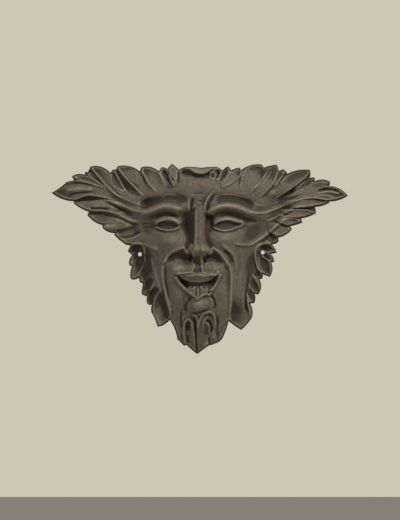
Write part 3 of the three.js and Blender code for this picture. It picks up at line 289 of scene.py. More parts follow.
def wings(r):
    """The leaves of the two wings, the lower ones first, each laid over the last, and their sweeping ribs."""
    leaf, ridge, boss = r.leaf, r.ridge, r.boss
    # left, lower leaves, each under the next
    leaf([(-66, 28), (-80, 22), (-97, 20)], (4, 4.5, 5, 3.5), (5, 8, 9, 6.5), (20, 14), rim=(0.2, 1.4),
         dish=-2.5, width=1.1)
    leaf([(-70, 36), (-90, 32), (-110, 29)], (4, 5.5, 5), (5, 8.5, 7.5), (24, 17), rim=(0.2, 0.2), dish=-3.5)
    leaf([(-78, 42), (-103, 39.5), (-127, 42.3)], (6, 7.5, 6.5), (5, 6, 5), (27, 12), rim=(0.2, 0.2), dish=-2)
    leaf([(-82, 48), (-103, 52), (-122, 52.5), (-142, 56.5)], (8, 7, 6, 4.5), (6, 7, 8, 5.5), (27, 12),
         rim=(2.2, 0.2), dish=-1.6, width=1.4)
    ridge([(-124, 49.6), (-113, 49.8), (-102, 49.2)], -3.0, 1.1, 1.1, ends=(0.1, 0.1))
    leaf([(-80, 62), (-103, 67), (-128, 71), (-148, 69.5), (-166.8, 67.3)], (9, 7, 7, 11), (9, 8, 8.5, 11),
         (27, 19, 10), rim=(2.4, 0.8), dish=0.5, tip=1.3, width=1.4)
    ridge([(-154, 69.5), (-142, 71.2), (-130, 71.5), (-118, 70)], 3.0, 2.6, 3.4)
    ridge([(-158, 71.5), (-150, 76.6), (-138, 78.2), (-126, 76.6), (-114, 74), (-102, 70.5)], -2.8, 1.6, 1.4)
    ridge([(-150, 62.5), (-140, 66.5), (-128, 67.8), (-116, 68)], -2.0, 1.0, 1.2)
    # left, upper leaves
    leaf([(-95, 70), (-113, 77), (-130, 83), (-144.5, 85.9)], (3, 3.5, 4, 3.5), (3, 3.5, 4, 4), (22, 12), rim=(2.2, 0.2), dish=0.8, width=1.9)
    leaf([(-97, 71), (-113, 80), (-129.5, 91)], (2.5, 3, 2.5), (3, 3.5, 3.5), (22, 13), rim=(2.4, 0.2),
         dish=1.0, width=1.2)
    leaf([(-84, 62), (-97, 74), (-110, 87), (-124, 97.5)], (5, 6, 6, 4.5), (5, 6.5, 8, 6.5), (25, 20, 13),
         rim=(3.0, 0.2), dish=1.8, width=1.3)
    leaf([(-82, 64), (-92, 77), (-98, 94)], (3, 5.5, 7, 4), (3, 3.5, 4, 2.5), (26, 15), rim=(0.2, 2.2),
         dish=1.6, width=1.1)
    leaf([(-58, 62), (-70, 77), (-81, 88), (-94, 97.5)], (5, 6, 6.5, 5.5), (6, 8, 10, 7.5), (29, 23, 15),
         rim=(3.2, 0.2), dish=0.8, tilt=1.2, width=1.3)
    ridge([(-92, 92), (-82, 83), (-72, 74.5), (-66, 70.5)], -1.6, 1.2, 1.6)
    ridge([(-88, 93), (-78, 94), (-70, 90.5), (-64, 83), (-60.5, 76)], -1.8, 1.8, 1.6)
    leaf([(-44, 66), (-52, 80), (-66, 97)], (5, 6.5, 7.5, 5.5), (5, 6.5, 8, 7.5), (31, 26, 17),
         rim=(2.6, 0.8), dish=0.6, tilt=0.8, width=1.4)
    leaf([(-32, 75), (-37.4, 84), (-43.5, 96.5)], (3, 4.5, 4), (2.4, 3.2, 3.5), (33, 20), rim=(1.4, 3.0), dish=1.2,
         width=1.1)
    leaf([(-29.6, 76), (-30.6, 86), (-32.5, 100)], (2.5, 4.5, 5, 4), (2.5, 3.8, 5, 5), (37, 32, 21),
         rim=(2.0, 0.6), dish=0.4, fade=0, tip=1.6, edge=0.8, width=1.2)
    ridge([(-36, 94), (-35, 88), (-32.8, 82.4), (-31, 79.4)], -3.2, 1.1, 1.1, ends=(0.1, 0.1))
    ridge([(-33.4, 79.4), (-31, 77), (-28.4, 77.8), (-28.4, 81)], 2.2, 0.9, 0.9, ends=(0.1, 0.2))
    # right, lower leaves
    leaf([(66, 24), (77, 18), (87, 13.5)], (4, 4, 3.5), (5, 5, 4.5), (22, 11), rim=(0.2, 0.2), dish=-1)
    leaf([(72, 31), (86, 28), (101, 26.5)], (4, 4.5, 5, 3.5), (5, 7, 9, 6.5), (25, 12), rim=(0.2, 0.4),
         dish=-2.2)
    leaf([(80, 40), (97, 37.5), (113, 34)], (4, 4, 4, 2.5), (4, 5.5, 6.5, 4.5), (25, 12), rim=(0.2, 0.2),
         dish=-0.8)
    boss(79, 68, 6, 5, 4)
    ridge([(82, 30), (88, 34), (93, 37), (100, 38.6), (106, 37.6), (111, 34.6)], 2.4, 2.6, 1.0, ends=(0.2, 0.1))
    leaf([(84, 44.6), (107, 45.6), (128, 44.6)], (3, 3.6, 3.8, 3.4), (4, 5, 6, 4.5), (25, 12), rim=(2.6, 0.2),
         dish=-0.6, width=1.1)
    leaf([(88, 52), (115, 57), (142.7, 56.6)], (5, 5, 4.5, 3.5), (5, 5.5, 6, 4.6), (26, 12), rim=(0.2, 1.0),
         dish=-1.2)
    leaf([(88, 56), (118, 66), (143, 67.5), (163.3, 64)], (5, 5.5, 6.5, 7.5), (5, 4.5, 6.5, 9), (27, 18, 10),
         rim=(2.4, 2.2), dish=1.2, tip=1.4, width=1.2)
    ridge([(157, 65.2), (150, 67), (142, 68.4), (133, 67.4), (124, 65.2)], 2.0, 1.2, 1.5)
    ridge([(151, 60.6), (144, 62.8), (135, 64), (122, 62.6)], 1.6, 1.2, 1.3)
    ridge([(155, 68.5), (147, 71), (137, 71), (127, 68.6)], -2.6, 1.4, 1.4)
    # right, upper leaves
    leaf([(96, 62), (120, 73.5), (143.5, 79)], (3, 4, 5, 4), (3, 3.5, 4, 3.5), (22, 12), rim=(0.2, 0.6),
         dish=-0.8)
    leaf([(98, 66), (113, 75), (126.3, 83.5)], (2.5, 3.5, 3), (2.5, 3, 2.5), (22, 12), rim=(0.4, 1.6), dish=0.8,
         width=1.0)
    leaf([(80, 62), (92, 74), (105, 84), (121.4, 92.4)], (5, 6.5, 8, 6), (4, 6, 7.5, 6.5), (29, 22, 13),
         rim=(0.2, 3.0), dish=2.2, tilt=-2.6, width=1.3)
    leaf([(76, 70), (84, 83), (92.5, 94)], (3, 4, 3.5), (3, 4, 4), (27, 15), rim=(0.4, 0.4), dish=1.2, tilt=-0.8)
    leaf([(60, 62), (70, 76), (77, 86), (84.5, 99)], (5, 6, 7, 6.5), (5, 6.5, 7.5, 6), (30, 24, 15),
         rim=(0.4, 3.0), dish=1.2, width=1.2)
    ridge([(79, 94), (76, 88), (71.5, 81.5), (66, 74)], 1.6, 0.9, 0.9)
    leaf([(46, 64), (52, 80), (58, 90), (67.5, 99.5)], (5, 7.5, 9, 9), (6, 10, 13, 8.5), (32, 27, 17),
         rim=(2.2, 0.5), dish=0.2, width=1.2)
    ridge([(45.6, 92), (44.6, 86), (44.4, 78)], 1.4, 0.9, 0.9)
    ridge([(52, 93), (60, 95), (66, 92), (66, 84)], -1.8, 1.8, 1.8)
    leaf([(24.4, 74.6), (31, 83), (43.5, 95.8)], (3, 5.5, 6.5, 5), (3, 6, 7, 5), (35, 30, 20), rim=(0.4, 0.8),
         dish=-0.8, fade=0, tip=1.6, edge=0.8, width=1.2)
    leaf([(19.6, 76), (25, 86), (29.8, 97.4)], (2, 3, 3), (1.8, 2.6, 2.6), (34, 22), rim=(0.2, 3.0), dish=1.6,
         width=1.0, fade=0.15)
    ridge([(45, 95), (43.8, 90), (42.4, 85.4), (40.6, 82)], 2.4, 0.9, 0.9, ends=(0.1, 0.2))

    # the sweeping ribs, one beside the other
    ridge([(70, 34.4), (78, 37.6), (86, 41.8), (95, 46), (104, 48.6)], 2.2, 1.2, 1.2)
    ridge([(82, 38.6), (93, 43), (103, 46.4)], -2.0, 1.2, 1.4)
    ridge([(35, 11), (42, 9.5), (50, 9), (56, 10), (62, 13.8), (70, 19), (77, 25), (84, 31), (90, 35)],
          3.4, 2.4, 1.4, ends=(0.1, 0.1))
    ridge([(64, 11), (72, 16.5), (80, 24), (88, 31.5)], -2.6, 1.2, 1.4)
    ridge([(52, 46.2), (60, 44.4), (68, 44.2), (76, 46.6), (84, 49.6), (93, 53.4), (104, 57.4), (115, 60)],
          2.6, 2.0, 1.3)
    for k in range(5):
        up = 3.4 * k
        ridge([(74 + 1.5 * k, 49.6 + up), (88 + k, 54.4 + 1.1 * up), (102 + k, 60 + 1.15 * up),
               (116, 65 + 1.1 * up)], 1.4, 1.0, 1.0)
    ridge([(58, 54), (64, 52.6), (71, 52.6)], 1.4, 1.0, 1.0)
    ridge([(-60, 46), (-72, 46.5), (-84, 51), (-98, 56.5), (-112, 61)], 2.4, 1.4, 2.2)
    ridge([(-76, 42.6), (-86, 46.6), (-96, 52.4), (-106, 58)], -2.6, 1.4, 1.4)
    ridge([(-66, 35), (-76, 36.2), (-86, 41), (-96, 45), (-108, 46.5)], 2.0, 1.8, 1.2)
    ridge([(-68, 31.6), (-78, 33), (-88, 37.6), (-98, 41.6), (-110, 43.4)], -2.4, 1.3, 1.5)
    ridge([(-62, 52), (-78, 57), (-95, 65)], 1.3, 1.6, 1.6)
    ridge([(-84, 68), (-92, 71.6), (-100, 77)], 1.8, 1.6, 1.2)
    boss(-102, 72.6, 1.7, 1.7, 2.4)


def sides(r):
    """The straps beside the panel, the jaw leaves, the ear leaves round the screw holes, and the borders."""
    leaf, ridge, boss = r.leaf, r.ridge, r.boss
    # right strap and jaw leaf
    ridge([(46, 0), (45, -20), (44.5, -42), (44, -60)], 2.0, 3.4, 3.4, ends=(0.3, 0.2))
    leaf([(43.5, -46), (43.2, -60), (44, -72), (44.5, -86)], (8, 9.5, 11.5, 10.5), (9, 9.5, 11, 10),
         (23, 19, 15), rim=(2.2, 0.6), dish=1.2, tip=1.5, fade=0.55, width=1.3)
    ridge([(54, -14), (52, -26), (50.2, -37), (48.8, -48), (49.4, -58), (52, -69)],
          -4.2, 1.8, 1.6, ends=(0.3, 0.2))
    # small side leaves, right
    leaf([(52, -36), (56, -46), (59.5, -56)], (3, 3.5, 3.5, 3), (3, 3.5, 4, 2.5), (17, 9), rim=(1, 1.6),
         dish=1)
    leaf([(54, -22), (58, -34), (64, -46.3)], (3, 4.5, 5.5, 4.5), (3, 3.5, 4, 2.5), (18, 9.5), rim=(1.2, 2),
         dish=1.4)
    leaf([(58, -14), (63, -22), (67.5, -29)], (3, 3, 2.5), (3, 3, 2.5), (16, 9), rim=(1, 1), dish=0.8)
    leaf([(66, 4), (70, -12), (76.5, -26.5)], (6, 8, 9, 6), (6, 6, 6, 4.5), (14, 9), rim=(1.4, 2.6),
         dish=2.6, fade=0.2)
    leaf([(66, 2), (73, -4), (81.5, -9.5)], (3, 4, 4), (3, 3.5, 3), (13, 9), rim=(1.2, 1.2), dish=1.4)
    leaf([(63, 4), (73, 5), (84.3, 0.8)], (4, 5, 5.5, 4.5), (3, 3.5, 4, 2.5), (14, 9), rim=(2, 1.2),
         dish=1.4)
    ridge([(80.5, 7.5), (77, 10), (72, 10.6), (66, 9.2), (61, 6), (59.6, -2), (61.5, -12), (65, -19),
          (69.5, -22.6), (76, -25.6)], 3.2, 1.3, 1.6, ends=(0.08, 0.05))
    boss(70.5, -9, 4.5, 10, -2.6, turn=-14)
    # small side leaves, left
    leaf([(-48, -36), (-54, -46), (-60, -57)], (3, 3.5, 3.5, 2.5), (3, 3.5, 4, 3), (13, 12), rim=(1.4, 0.3),
         dish=1)
    leaf([(-54, -26), (-60, -36), (-67, -46)], (3, 3.5, 3.5, 2.5), (3, 4, 5, 4), (13, 12), rim=(1.8, 0.3),
         dish=1.2)
    leaf([(-58, -16), (-63, -24), (-69, -32.5)], (3, 3, 2.5), (3, 4, 3.5), (12, 12), rim=(1, 0.3), dish=-0.4)
    leaf([(-66, 2), (-70, -14), (-77.5, -30)], (5, 5.5, 5.5, 4.5), (5, 6.5, 8, 5.5), (12, 12),
         rim=(2.0, 0.3), dish=0.4, fade=0.2)
    leaf([(-66, 1), (-73, -5), (-81, -11.5)], (3, 3.5, 3), (3, 4, 3.5), (11, 12), rim=(1, 0.4), dish=0.2)
    leaf([(-63, 4), (-72, 5), (-82.3, 2.5)], (3, 4, 3.5), (4, 5, 4), (12, 12), rim=(0.6, 1.6), dish=0.4)
    ridge([(-79, 6), (-76, 9.6), (-71.5, 10.6), (-66, 9), (-63, 3), (-62, -8), (-61.5, -20)],
          2.8, 1.6, 1.3, ends=(0.08, 0.3))
    boss(-70.5, -9, 4, 9, -1.0, turn=12)
    # left strap and jaw leaf
    leaf([(-46, -34), (-46, -55), (-45, -68), (-48.8, -82.3)], (4, 5.5, 8, 9), (4, 5.5, 8, 8.5),
         (17, 19, 19), rim=(0.3, 1.4), dish=-0.5, fade=0.4, tip=1.6)
    ridge([(-57, 2), (-54, -12), (-48, -32), (-44, -42), (-38.5, -57)], 2.6, 2.2, 1.6)
    ridge([(-66, 12), (-60, 8.5), (-55, 6.5), (-47.5, 3)], 2.4, 2.4, 1.4)
    # panel borders
    ridge([(-38, -4), (-42.5, -12), (-43.7, -20), (-43.3, -29), (-40, -42), (-37.2, -53), (-35, -63),
          (-34, -71)], 3.0, 1.8, 1.8, ends=(0.1, 0.1))
    ridge([(26, -6), (31, -14), (33, -24), (33, -35), (32.4, -50), (32.4, -62), (31.5, -71)],
          3.4, 2.0, 1.8, ends=(0.1, 0.1))


def face(r):
    """Eyes, brows, forehead, cheeks and the folds from nose to mouth."""
    ridge, boss = r.ridge, r.boss
    # eye sockets, the trench left of the nose, cheeks
    boss(-37, 36, 21, 10, -10.5)
    boss(31, 37, 21, 10, -10.5)
    boss(-14.5, 33, 6.5, 14, -9)
    boss(8.5, 36, 5, 10, -6)
    boss(-34, 14, 15, 10, 7)
    boss(25, 16, 17, 10, 7)
    boss(56, 22, 13, 9, -4, turn=35)
    boss(-62, 24, 12, 8, -3, turn=-30)
    eyes(r)
    brows(r)
    # glabella: three creases over two small drops
    ridge([(-3.5, 66), (-3.5, 52)], 2.5, 5, 5, ends=(0.3, 0.1))
    wrinkles(r)
    ridge([(-9.2, 49.2), (-7.2, 52.6), (-5.4, 50)], 2.6, 0.9, 0.9, ends=(0.1, 0.1))
    ridge([(-2.2, 50), (-0.4, 52.8), (1.6, 49.6)], 2.6, 0.9, 0.9, ends=(0.1, 0.1))
    ridge([(-9.5, 47.4), (-3.5, 48.4), (2.5, 47.4)], -3.4, 1.0, 1.3, ends=(0.15, 0.15))
    ridge([(-12.5, 62), (-14.5, 53), (-12.5, 45)], 1.6, 1.2, 1.6)
    ridge([(-10, 62), (-10.8, 54), (-10.5, 44)], -3.0, 1.4, 1.4)
    nose(r)
    cheek_folds(r)


def eyes(r):
    """Heavy upper lids over half-closed balls, thin lower lids, and the creases round them."""
    ridge, boss = r.ridge, r.boss
    # left: ball, upper lid, its shadow line, lower lid, pouch line, fold
    boss(-37, 36, 14, 6.5, 8.5, power=2.6)
    ridge([(-52, 30.6), (-46.5, 34.8), (-40, 36.8), (-33, 36.6), (-27, 33.8), (-22.5, 29.6)],
          3.4, 4.0, 1.1, ends=(0.15, 0.12), power=2.4)
    ridge([(-49, 31.4), (-43, 33.8), (-36, 34.4), (-29.5, 32.4), (-24.5, 30)], -2.6, 0.9, 3.2, ends=(0.15, 0.15))
    ridge([(-52, 30), (-46, 27.2), (-38, 25.6), (-30, 26.5), (-22.5, 29.8)], 2.4, 0.9, 1.1, ends=(0.1, 0.1))
    ridge([(-52, 28), (-45, 24.7), (-38, 23.4), (-29, 24.2), (-22, 27.4)], -1.6, 1.0, 1.4)
    ridge([(-52, 36.5), (-46, 41.2), (-38, 43), (-30, 41.6), (-23.5, 37)], -2.6, 1.6, 1.4)
    ridge([(-53, 31.5), (-59, 32.6), (-67, 32)], -1.6, 0.8, 1.0)
    ridge([(-53, 28.5), (-60, 29), (-66, 28)], -1.2, 0.8, 1.0)
    # right
    boss(29, 36, 15, 6.5, 8.5, power=2.6)
    ridge([(11.5, 29.8), (18, 34.2), (25, 36.8), (32, 36.8), (40, 34.4), (50, 33)],
          3.4, 3.8, 1.1, ends=(0.12, 0.15), power=2.4)
    ridge([(14, 30.4), (20, 33), (27.5, 34.3), (36, 33.4), (45, 32)], -2.6, 0.9, 3.2, ends=(0.15, 0.15))
    ridge([(11, 29.8), (17, 26.8), (25, 25.2), (33, 26.4), (41, 29.6), (49, 32.6)], 2.4, 0.9, 1.1, ends=(0.1, 0.1))
    ridge([(11, 27.4), (17, 24.6), (25, 23), (34, 24.4), (43, 28)], -1.6, 1.0, 1.4)
    ridge([(17, 39), (25, 41.8), (33, 41.4), (42, 38.8), (52, 36.6), (62, 36)], -2.6, 1.4, 1.4)
    ridge([(44, 35.4), (52, 34.8), (62, 35.6)], -1.6, 0.8, 1.0)


def brows(r):
    """Thick brows with fine arcs above them, and the deep hollows under the forehead."""
    ridge, boss = r.ridge, r.boss
    ridge([(-76, 45), (-64, 45), (-53, 48.2), (-45, 50.8), (-37, 51.6), (-28, 49.4), (-20, 44.5)],
          7.0, 3.6, 4.6, ends=(0.35, 0.12), power=2.6)
    ridge([(7, 42), (10.5, 46.2), (17, 50.4), (26, 52.6), (34, 52), (43, 49.2), (54, 45), (66, 43), (80, 46)],
          7.0, 3.4, 5.0, ends=(0.05, 0.4), power=2.6)
    for k, (high, wide) in enumerate(((1.6, 0.9), (1.5, 0.9), (1.4, 1.0))):
        up = 2.6 * k
        ridge([(-49, 56.4 + 0.4 * up), (-39, 58.6 + up), (-30, 58.4 + up), (-22, 54.6 + up), (-16, 48.5 + up)],
              high, wide, wide)
        ridge([(9.6 - 0.4 * up, 48 + 0.6 * up), (15 - 0.4 * up, 55.4 + 0.9 * up), (24, 59 + up), (36, 58.6 + up),
               (48, 54.2 + up)], high, wide, wide, ends=(0.15, 0.45))
    # the curl at the inner end of the right brow
    ridge([(9.6, 44.4), (6.6, 42.2), (4.0, 45.5), (3.4, 50), (5.2, 57), (9, 63.5), (15, 69)], 3.6, 1.1, 1.6,
          ends=(0.05, 0.3))
    ridge([(6.4, 46), (6.4, 51), (9.6, 58), (15, 64)], -3.2, 1.1, 1.5, ends=(0.1, 0.25))
    # forehead: deep hollows over the brows, and the swells that bound them
    ridge([(-70, 50), (-60, 54.6), (-50, 58), (-38, 60.6), (-27, 60), (-17, 54.5)], -6.5, 5.6, 4.0)
    ridge([(60, 50.4), (52, 54.6), (40, 58.6), (26, 60.6), (13, 58)], -6.5, 4.0, 5.6)
    boss(-60, 55, 8, 6.5, -5, turn=25)
    boss(-20, 59, 5, 6, -3, turn=-35)
    boss(12, 63, 5, 5, -3, turn=35)
    boss(-3, 76, 26, 8, 3.5)
    boss(-84, 62, 14, 8, 3.0, turn=-10)
    boss(64, 66, 13, 11, 3.0)


def cheek_folds(r):
    """The folds from the nose's wings down to the panel's borders, and the shaded slope under them."""
    ridge = r.ridge
    ridge([(-16, 6.8), (-22, 5.6), (-28, 3.4), (-33, 0.5), (-38, -4.5), (-42.5, -12)], 3.6, 2.2, 1.6, ends=(0.1, 0.1))
    ridge([(9, 7.6), (13, 5.6), (20, 0.8), (25.5, -6), (31, -16)], 3.6, 1.6, 2.2, ends=(0.1, 0.1))
    ridge([(-40, -12), (-35, -6.5), (-28, -3.2), (-19, -3), (-3.5, -5), (9, -4.5), (17, -6.5), (25, -14)],
          -5.2, 4.2, 4.4, ends=(0.15, 0.15))
    ridge([(20, 9.5), (28, 5), (35, -1.5), (38.5, -12), (38, -24)], 2.4, 2.2, 1.8)
    ridge([(24, 4), (30, -2), (34, -12)], -2.0, 1.5, 1.5)


def nose_form(r):
    """The nose laid over the face by soft maximum: a fluted bridge, the ball of the tip and the two wings."""
    places = (r.z < 52) & (r.z > -16) & (np.abs(r.x - AXIS) < 26)
    x, z = r.x[places] - AXIS - 0.3, r.z[places]
    off_bridge = np.clip(np.abs(x) / through(z, NOSE_WIDE) - 0.62, 0, None)
    steep = through(z, NOSE_STEEP) * np.where(x < 0, 1.15, 0.72)
    bridge = through(z, NOSE_HIGH) + 0.42 * np.clip(x, -7, 7) - steep * off_bridge ** 1.25
    r.lift(np.where(z < -11.5, -99, bridge), places, 2.0)
    r.lift(67.4 - 7 * ((x / 7.4) ** 2 + ((z - 5) / 5.6) ** 2), places, 2.5)
    for side, high in ((-11, 53), (10.4, 56)):
        r.lift(high - 9 * (np.abs((x - side) / 6.4) ** 2.2 + np.abs((z - 1.6) / 5.4) ** 2.2), places, 3.0)


def nose(r):
    """The nose, with its flutes, creases, nostrils, and the two ribs from its wall down to the lip."""
    ridge = r.ridge
    nose_form(r)
    ridge([(-6.9, 45), (-7, 34), (-7.2, 24)], 1.0, 0.8, 0.8, ends=(0.1, 0.3))
    ridge([(0.2, 44), (0.4, 30), (0.2, 16)], -1.0, 0.8, 0.8, ends=(0.1, 0.3))
    ridge([(3.2, 42), (3.6, 30), (3.4, 18), (5.6, 10), (9, 6)], 1.0, 1.1, 1.1, ends=(0.1, 0.2))
    ridge([(-2, 14.5), (-4, 10.5), (-6.4, 5.8)], 0.9, 0.8, 0.8, ends=(0.2, 0.2))
    ridge([(-9.6, 11), (-9.2, 6.5), (-10.2, 2)], -2.2, 1.0, 1.2, ends=(0.2, 0.2))
    ridge([(3.6, 7.5), (4.6, 3.5), (3.4, -1)], -1.8, 1.0, 1.0, ends=(0.2, 0.2))
    ridge([(-10.2, -2.6), (-11.3, -6), (-12.6, -8.8)], -4, 1.0, 1.2, ends=(0.15, 0.15), power=2.4)
    ridge([(1.6, -4.4), (3, -7.8), (5.2, -10.4)], -4, 1.2, 1.0, ends=(0.15, 0.15), power=2.4)
    ridge([(-9.2, 0), (-9.8, -5), (-9, -10), (-8.3, -13), (-9.3, -18), (-12.3, -22)], 2.2, 1.1, 1.1, ends=(0.1, 0.1))
    ridge([(-0.2, -1), (0.2, -8), (0.6, -15), (1.2, -19), (3.2, -22)], 2.6, 1.2, 1.2, ends=(0.1, 0.1))


def wrinkles(r):
    """Three creases between the brows."""
    for z, x0, x1 in ((64, -14, 5), (59.6, -8, 3), (55.4, -8, 2)):
        r.ridge([(x0, z - 0.5), ((x0 + x1) / 2, z + 0.4), (x1, z - 0.5)], 1.4, 0.9, 1.2, ends=(0.2, 0.2))


def lip_ribs(r):
    """Ribs that fan out over the lower lip."""
    for x in (-14, -11, -7.6, -0.6, 3, 6.2):
        r.ridge([(-3.9 + (x + 3.9) * 0.3, -35.5), (x, -45)], 1.1, 0.8, 0.8, ends=(0.1, 0.2))


def locks(r):
    """Long locks down both sides of the panel."""
    for k in range(5):
        s = k / 4
        r.ridge([(-27 + 6 * s, -34 - 8 * s), (-29 + 8 * s, -55), (-28 + 8 * s, -75), (-24.5 + 4 * s, -95)],
                0.9, 0.8, 0.9)
        r.ridge([(20 + 6 * s, -34), (19 + 8 * s, -55), (18.5 + 7 * s, -75), (17 + 5 * s, -92)], 0.9, 0.9, 0.8)


def mouth_and_beard(r):
    """Lips, the hollows beside them, the chin and the beard."""
    leaf, ridge, boss = r.leaf, r.ridge, r.boss
    # upper lip's field, swelling under the shaded slope
    boss(-23, -17, 8, 6.5, 4.5)
    boss(-12, -16, 5, 6, 2.0)
    boss(15, -17.5, 9, 6.5, 4.0)
    boss(-31, -24, 6, 16, 2.6, turn=-5)
    ridge([(-39, -10), (-39.6, -22), (-38, -38), (-34.6, -56)], -1.8, 1.2, 1.2)
    boss(29, -30, 3.4, 18, -1.2, turn=5)
    # mouth: the dark corners, the fanned lower lip, and the upper lip set back under its crest
    boss(-18, -33, 7.5, 4.5, -6, turn=-42, power=2.6)
    boss(12, -32.5, 6.5, 4.2, -6, turn=42, power=2.6)
    ridge([(-23, -28.5), (-14, -33), (-4, -34.4), (6, -33), (16, -28.5)], -3.0, 1.8, 2.2, ends=(0.1, 0.1))
    leaf([(-3.6, -32.5), (-3.8, -40), (-4, -50.6)], (5.0, 10, 11.8, 8.0), (5.0, 10, 11.8, 8.0), (42, 45.5, 49),
         rim=(0.2, 0.2), dish=-0.6, fade=0.1, tip=1.3, edge=1.4)
    leaf([(-28, -24.6), (-17, -27.0), (-4, -28), (9, -27.2), (20.3, -23.5)], (0.5, 3.6, 5.0, 3.4),
         (0.5, 3.2, 4.6, 3.0), (45, 51.5, 45), rim=(0.2, 0.5), dish=-0.3, fade=0, tip=1.4, edge=1.0, tilt=3.6)
    ridge([(-30, -24.4), (-26, -22.9), (-21, -22.3), (-12, -22), (-5, -22.5), (1, -22.5), (8, -23), (14.5, -23.8),
           (18.4, -21.8), (20.5, -19.6)], 3.2, 1.5, 1.2, ends=(0.1, 0.08), power=2.6)
    for x, z in ((-25.5, -21.9), (-18, -21.2), (-11.6, -20.8), (-1, -21.2), (3.6, -21.4), (11.5, -22.4), (18.8, -20.4)):
        boss(x, z, 2.4, 1.6, 1.6)
    # lower lip: its rim a leaf's edge with a lobe on the right, over fanned ribs
    ridge([(-29, -25), (-26.6, -29), (-24, -32.6), (-20.4, -36.2), (-16.5, -40), (-13.4, -43), (-10.3, -44.6)],
          5.0, 1.5, 1.7, ends=(0.05, 0.06), power=2.6)
    ridge([(-11.6, -44.6), (-8, -46.8), (-5.6, -49.4), (-4, -51.2)], 4.6, 1.3, 1.5, ends=(0.12, 0.02), power=2.4)
    ridge([(21, -22.5), (19.2, -28), (16.6, -32.4), (14.2, -36.4), (11.4, -40), (8.4, -41.6)],
          5.0, 1.7, 1.5, ends=(0.05, 0.08), power=2.6)
    ridge([(11, -42.6), (8.6, -45.4), (5, -45.1), (1, -45.8), (-1.6, -48), (-4, -51.2)], 4.6, 1.5, 1.3,
          ends=(0.08, 0.02), power=2.4)
    lip_ribs(r)
    ridge([(-3.7, -34.5), (-4, -49.5)], 1.3, 0.8, 0.8, ends=(0.1, 0.1))
    for side in (-2.1, 2.1):
        ridge([(-3.7 + 0.4 * side, -35), (-3.8 + side, -42), (-4 + 0.8 * side, -48)], -2.0, 0.8, 0.8, ends=(0.1, 0.1))
    # chin ball
    boss(-2, -56, 12, 10, 9, power=2.6)
    boss(-4, -56.5, 4.6, 4.4, 1.6)
    ridge([(-9, -49), (-14, -52), (-17, -58), (-15.5, -66)], -2.2, 1.6, 2.2)
    ridge([(-14.6, -47.5), (-15.4, -51), (-14.6, -55)], 1.4, 0.8, 0.8)
    ridge([(9.5, -45.5), (13.6, -50.5), (15, -57), (13.6, -63)], -2.6, 1.3, 1.6, ends=(0.1, 0.2))
    ridge([(5.5, -48), (9, -53), (9.5, -60)], -1.3, 1.1, 1.1)
    ridge([(-13, -65), (-6, -66), (2, -64.2), (10, -62.4)], -2.2, 1.4, 1.2)
    beard_loops(r)
    locks(r)
    ridge([(30, -73), (28.8, -75.7), (26.4, -82.4), (23.9, -87.3), (22.6, -91.5), (21.2, -96)], 2.2, 0.9, 1.3,
          ends=(0.1, 0.05))
    ridge([(28, -75), (24.6, -83), (21.6, -90)], -1.6, 1.0, 1.0)


def beard_loops(r):
    """The curled ends of the beard: a narrow loop left of the cleft, and a broad double one to its right."""
    ridge, boss = r.ridge, r.boss
    ridge([(-17.6, -102), (-18.6, -95), (-19.3, -86.5), (-18.9, -80), (-17.8, -75.7), (-14.4, -72.6), (-11.6, -75),
           (-10.1, -80.7), (-9.3, -87), (-9.2, -95)], 3.6, 1.3, 1.3, ends=(0.03, 0.2), power=2.4)
    ridge([(-14.6, -75.2), (-14.6, -80), (-14.2, -87)], -3.4, 2.2, 2.2, ends=(0.08, 0.4), power=2.6)
    ridge([(-14.4, -88), (-14.2, -100)], -1.2, 1.5, 1.5, ends=(0.3, 0.1))
    ridge([(-20.5, -75), (-20, -70.6), (-16, -68.8), (-11, -69.4)], 1.4, 1.2, 1.4)
    ridge([(-21.4, -62), (-22.2, -72), (-21.8, -84)], -2.2, 1.1, 1.3)
    ridge([(-10.5, -67.2), (-6.4, -69.4), (-4.6, -73.4), (-4.6, -79), (-4.8, -88)], 2.6, 1.6, 1.3, ends=(0.1, 0.3))
    ridge([(-9, -70.4), (-7, -75), (-6.2, -84), (-5.8, -95), (-5, -110)], -3.4, 1.0, 1.0, ends=(0.1, 0.05))
    ridge([(-8.6, -72.5), (-8, -80), (-7.8, -95), (-7, -104)], 1.0, 0.8, 0.8)
    ridge([(-3.8, -84), (-3.2, -78), (-1.6, -73), (1.6, -67.8), (5.6, -65.2), (9.8, -64.7), (13.1, -67),
           (14.7, -71), (15.2, -78), (14.8, -85)], 4.0, 1.3, 1.5, ends=(0.08, 0.15), power=2.4)
    boss(1.5, -78, 5.5, 9, 3.0, turn=-18)
    ridge([(1.0, -84), (1.8, -77), (5, -71.6), (9.4, -70.4), (12, -74), (12.6, -82)], 1.6, 1.1, 1.3)
    ridge([(4.2, -75), (7.6, -74.6), (10.3, -77), (10.8, -84), (9.6, -90)], -3.4, 1.1, 1.1, ends=(0.1, 0.3))
    ridge([(3.8, -76.6), (6.8, -77.8), (8.8, -80.7), (9.0, -84.4), (7.8, -89)], 2.6, 0.9, 0.9, ends=(0.1, 0.2))
    boss(5, -86, 3.2, 6, -1.6)
    boss(14.2, -93, 2.8, 4, 2.4)
    ridge([(8.6, -93), (8.6, -97), (9.4, -101.5)], -3.4, 1.0, 1.0, ends=(0.2, 0.05))
    boss(4.6, -101.6, 5.5, 2.6, 3.0, turn=42)
    ridge([(17.2, -68), (18, -80), (17, -95)], -1.6, 1.2, 1.2)


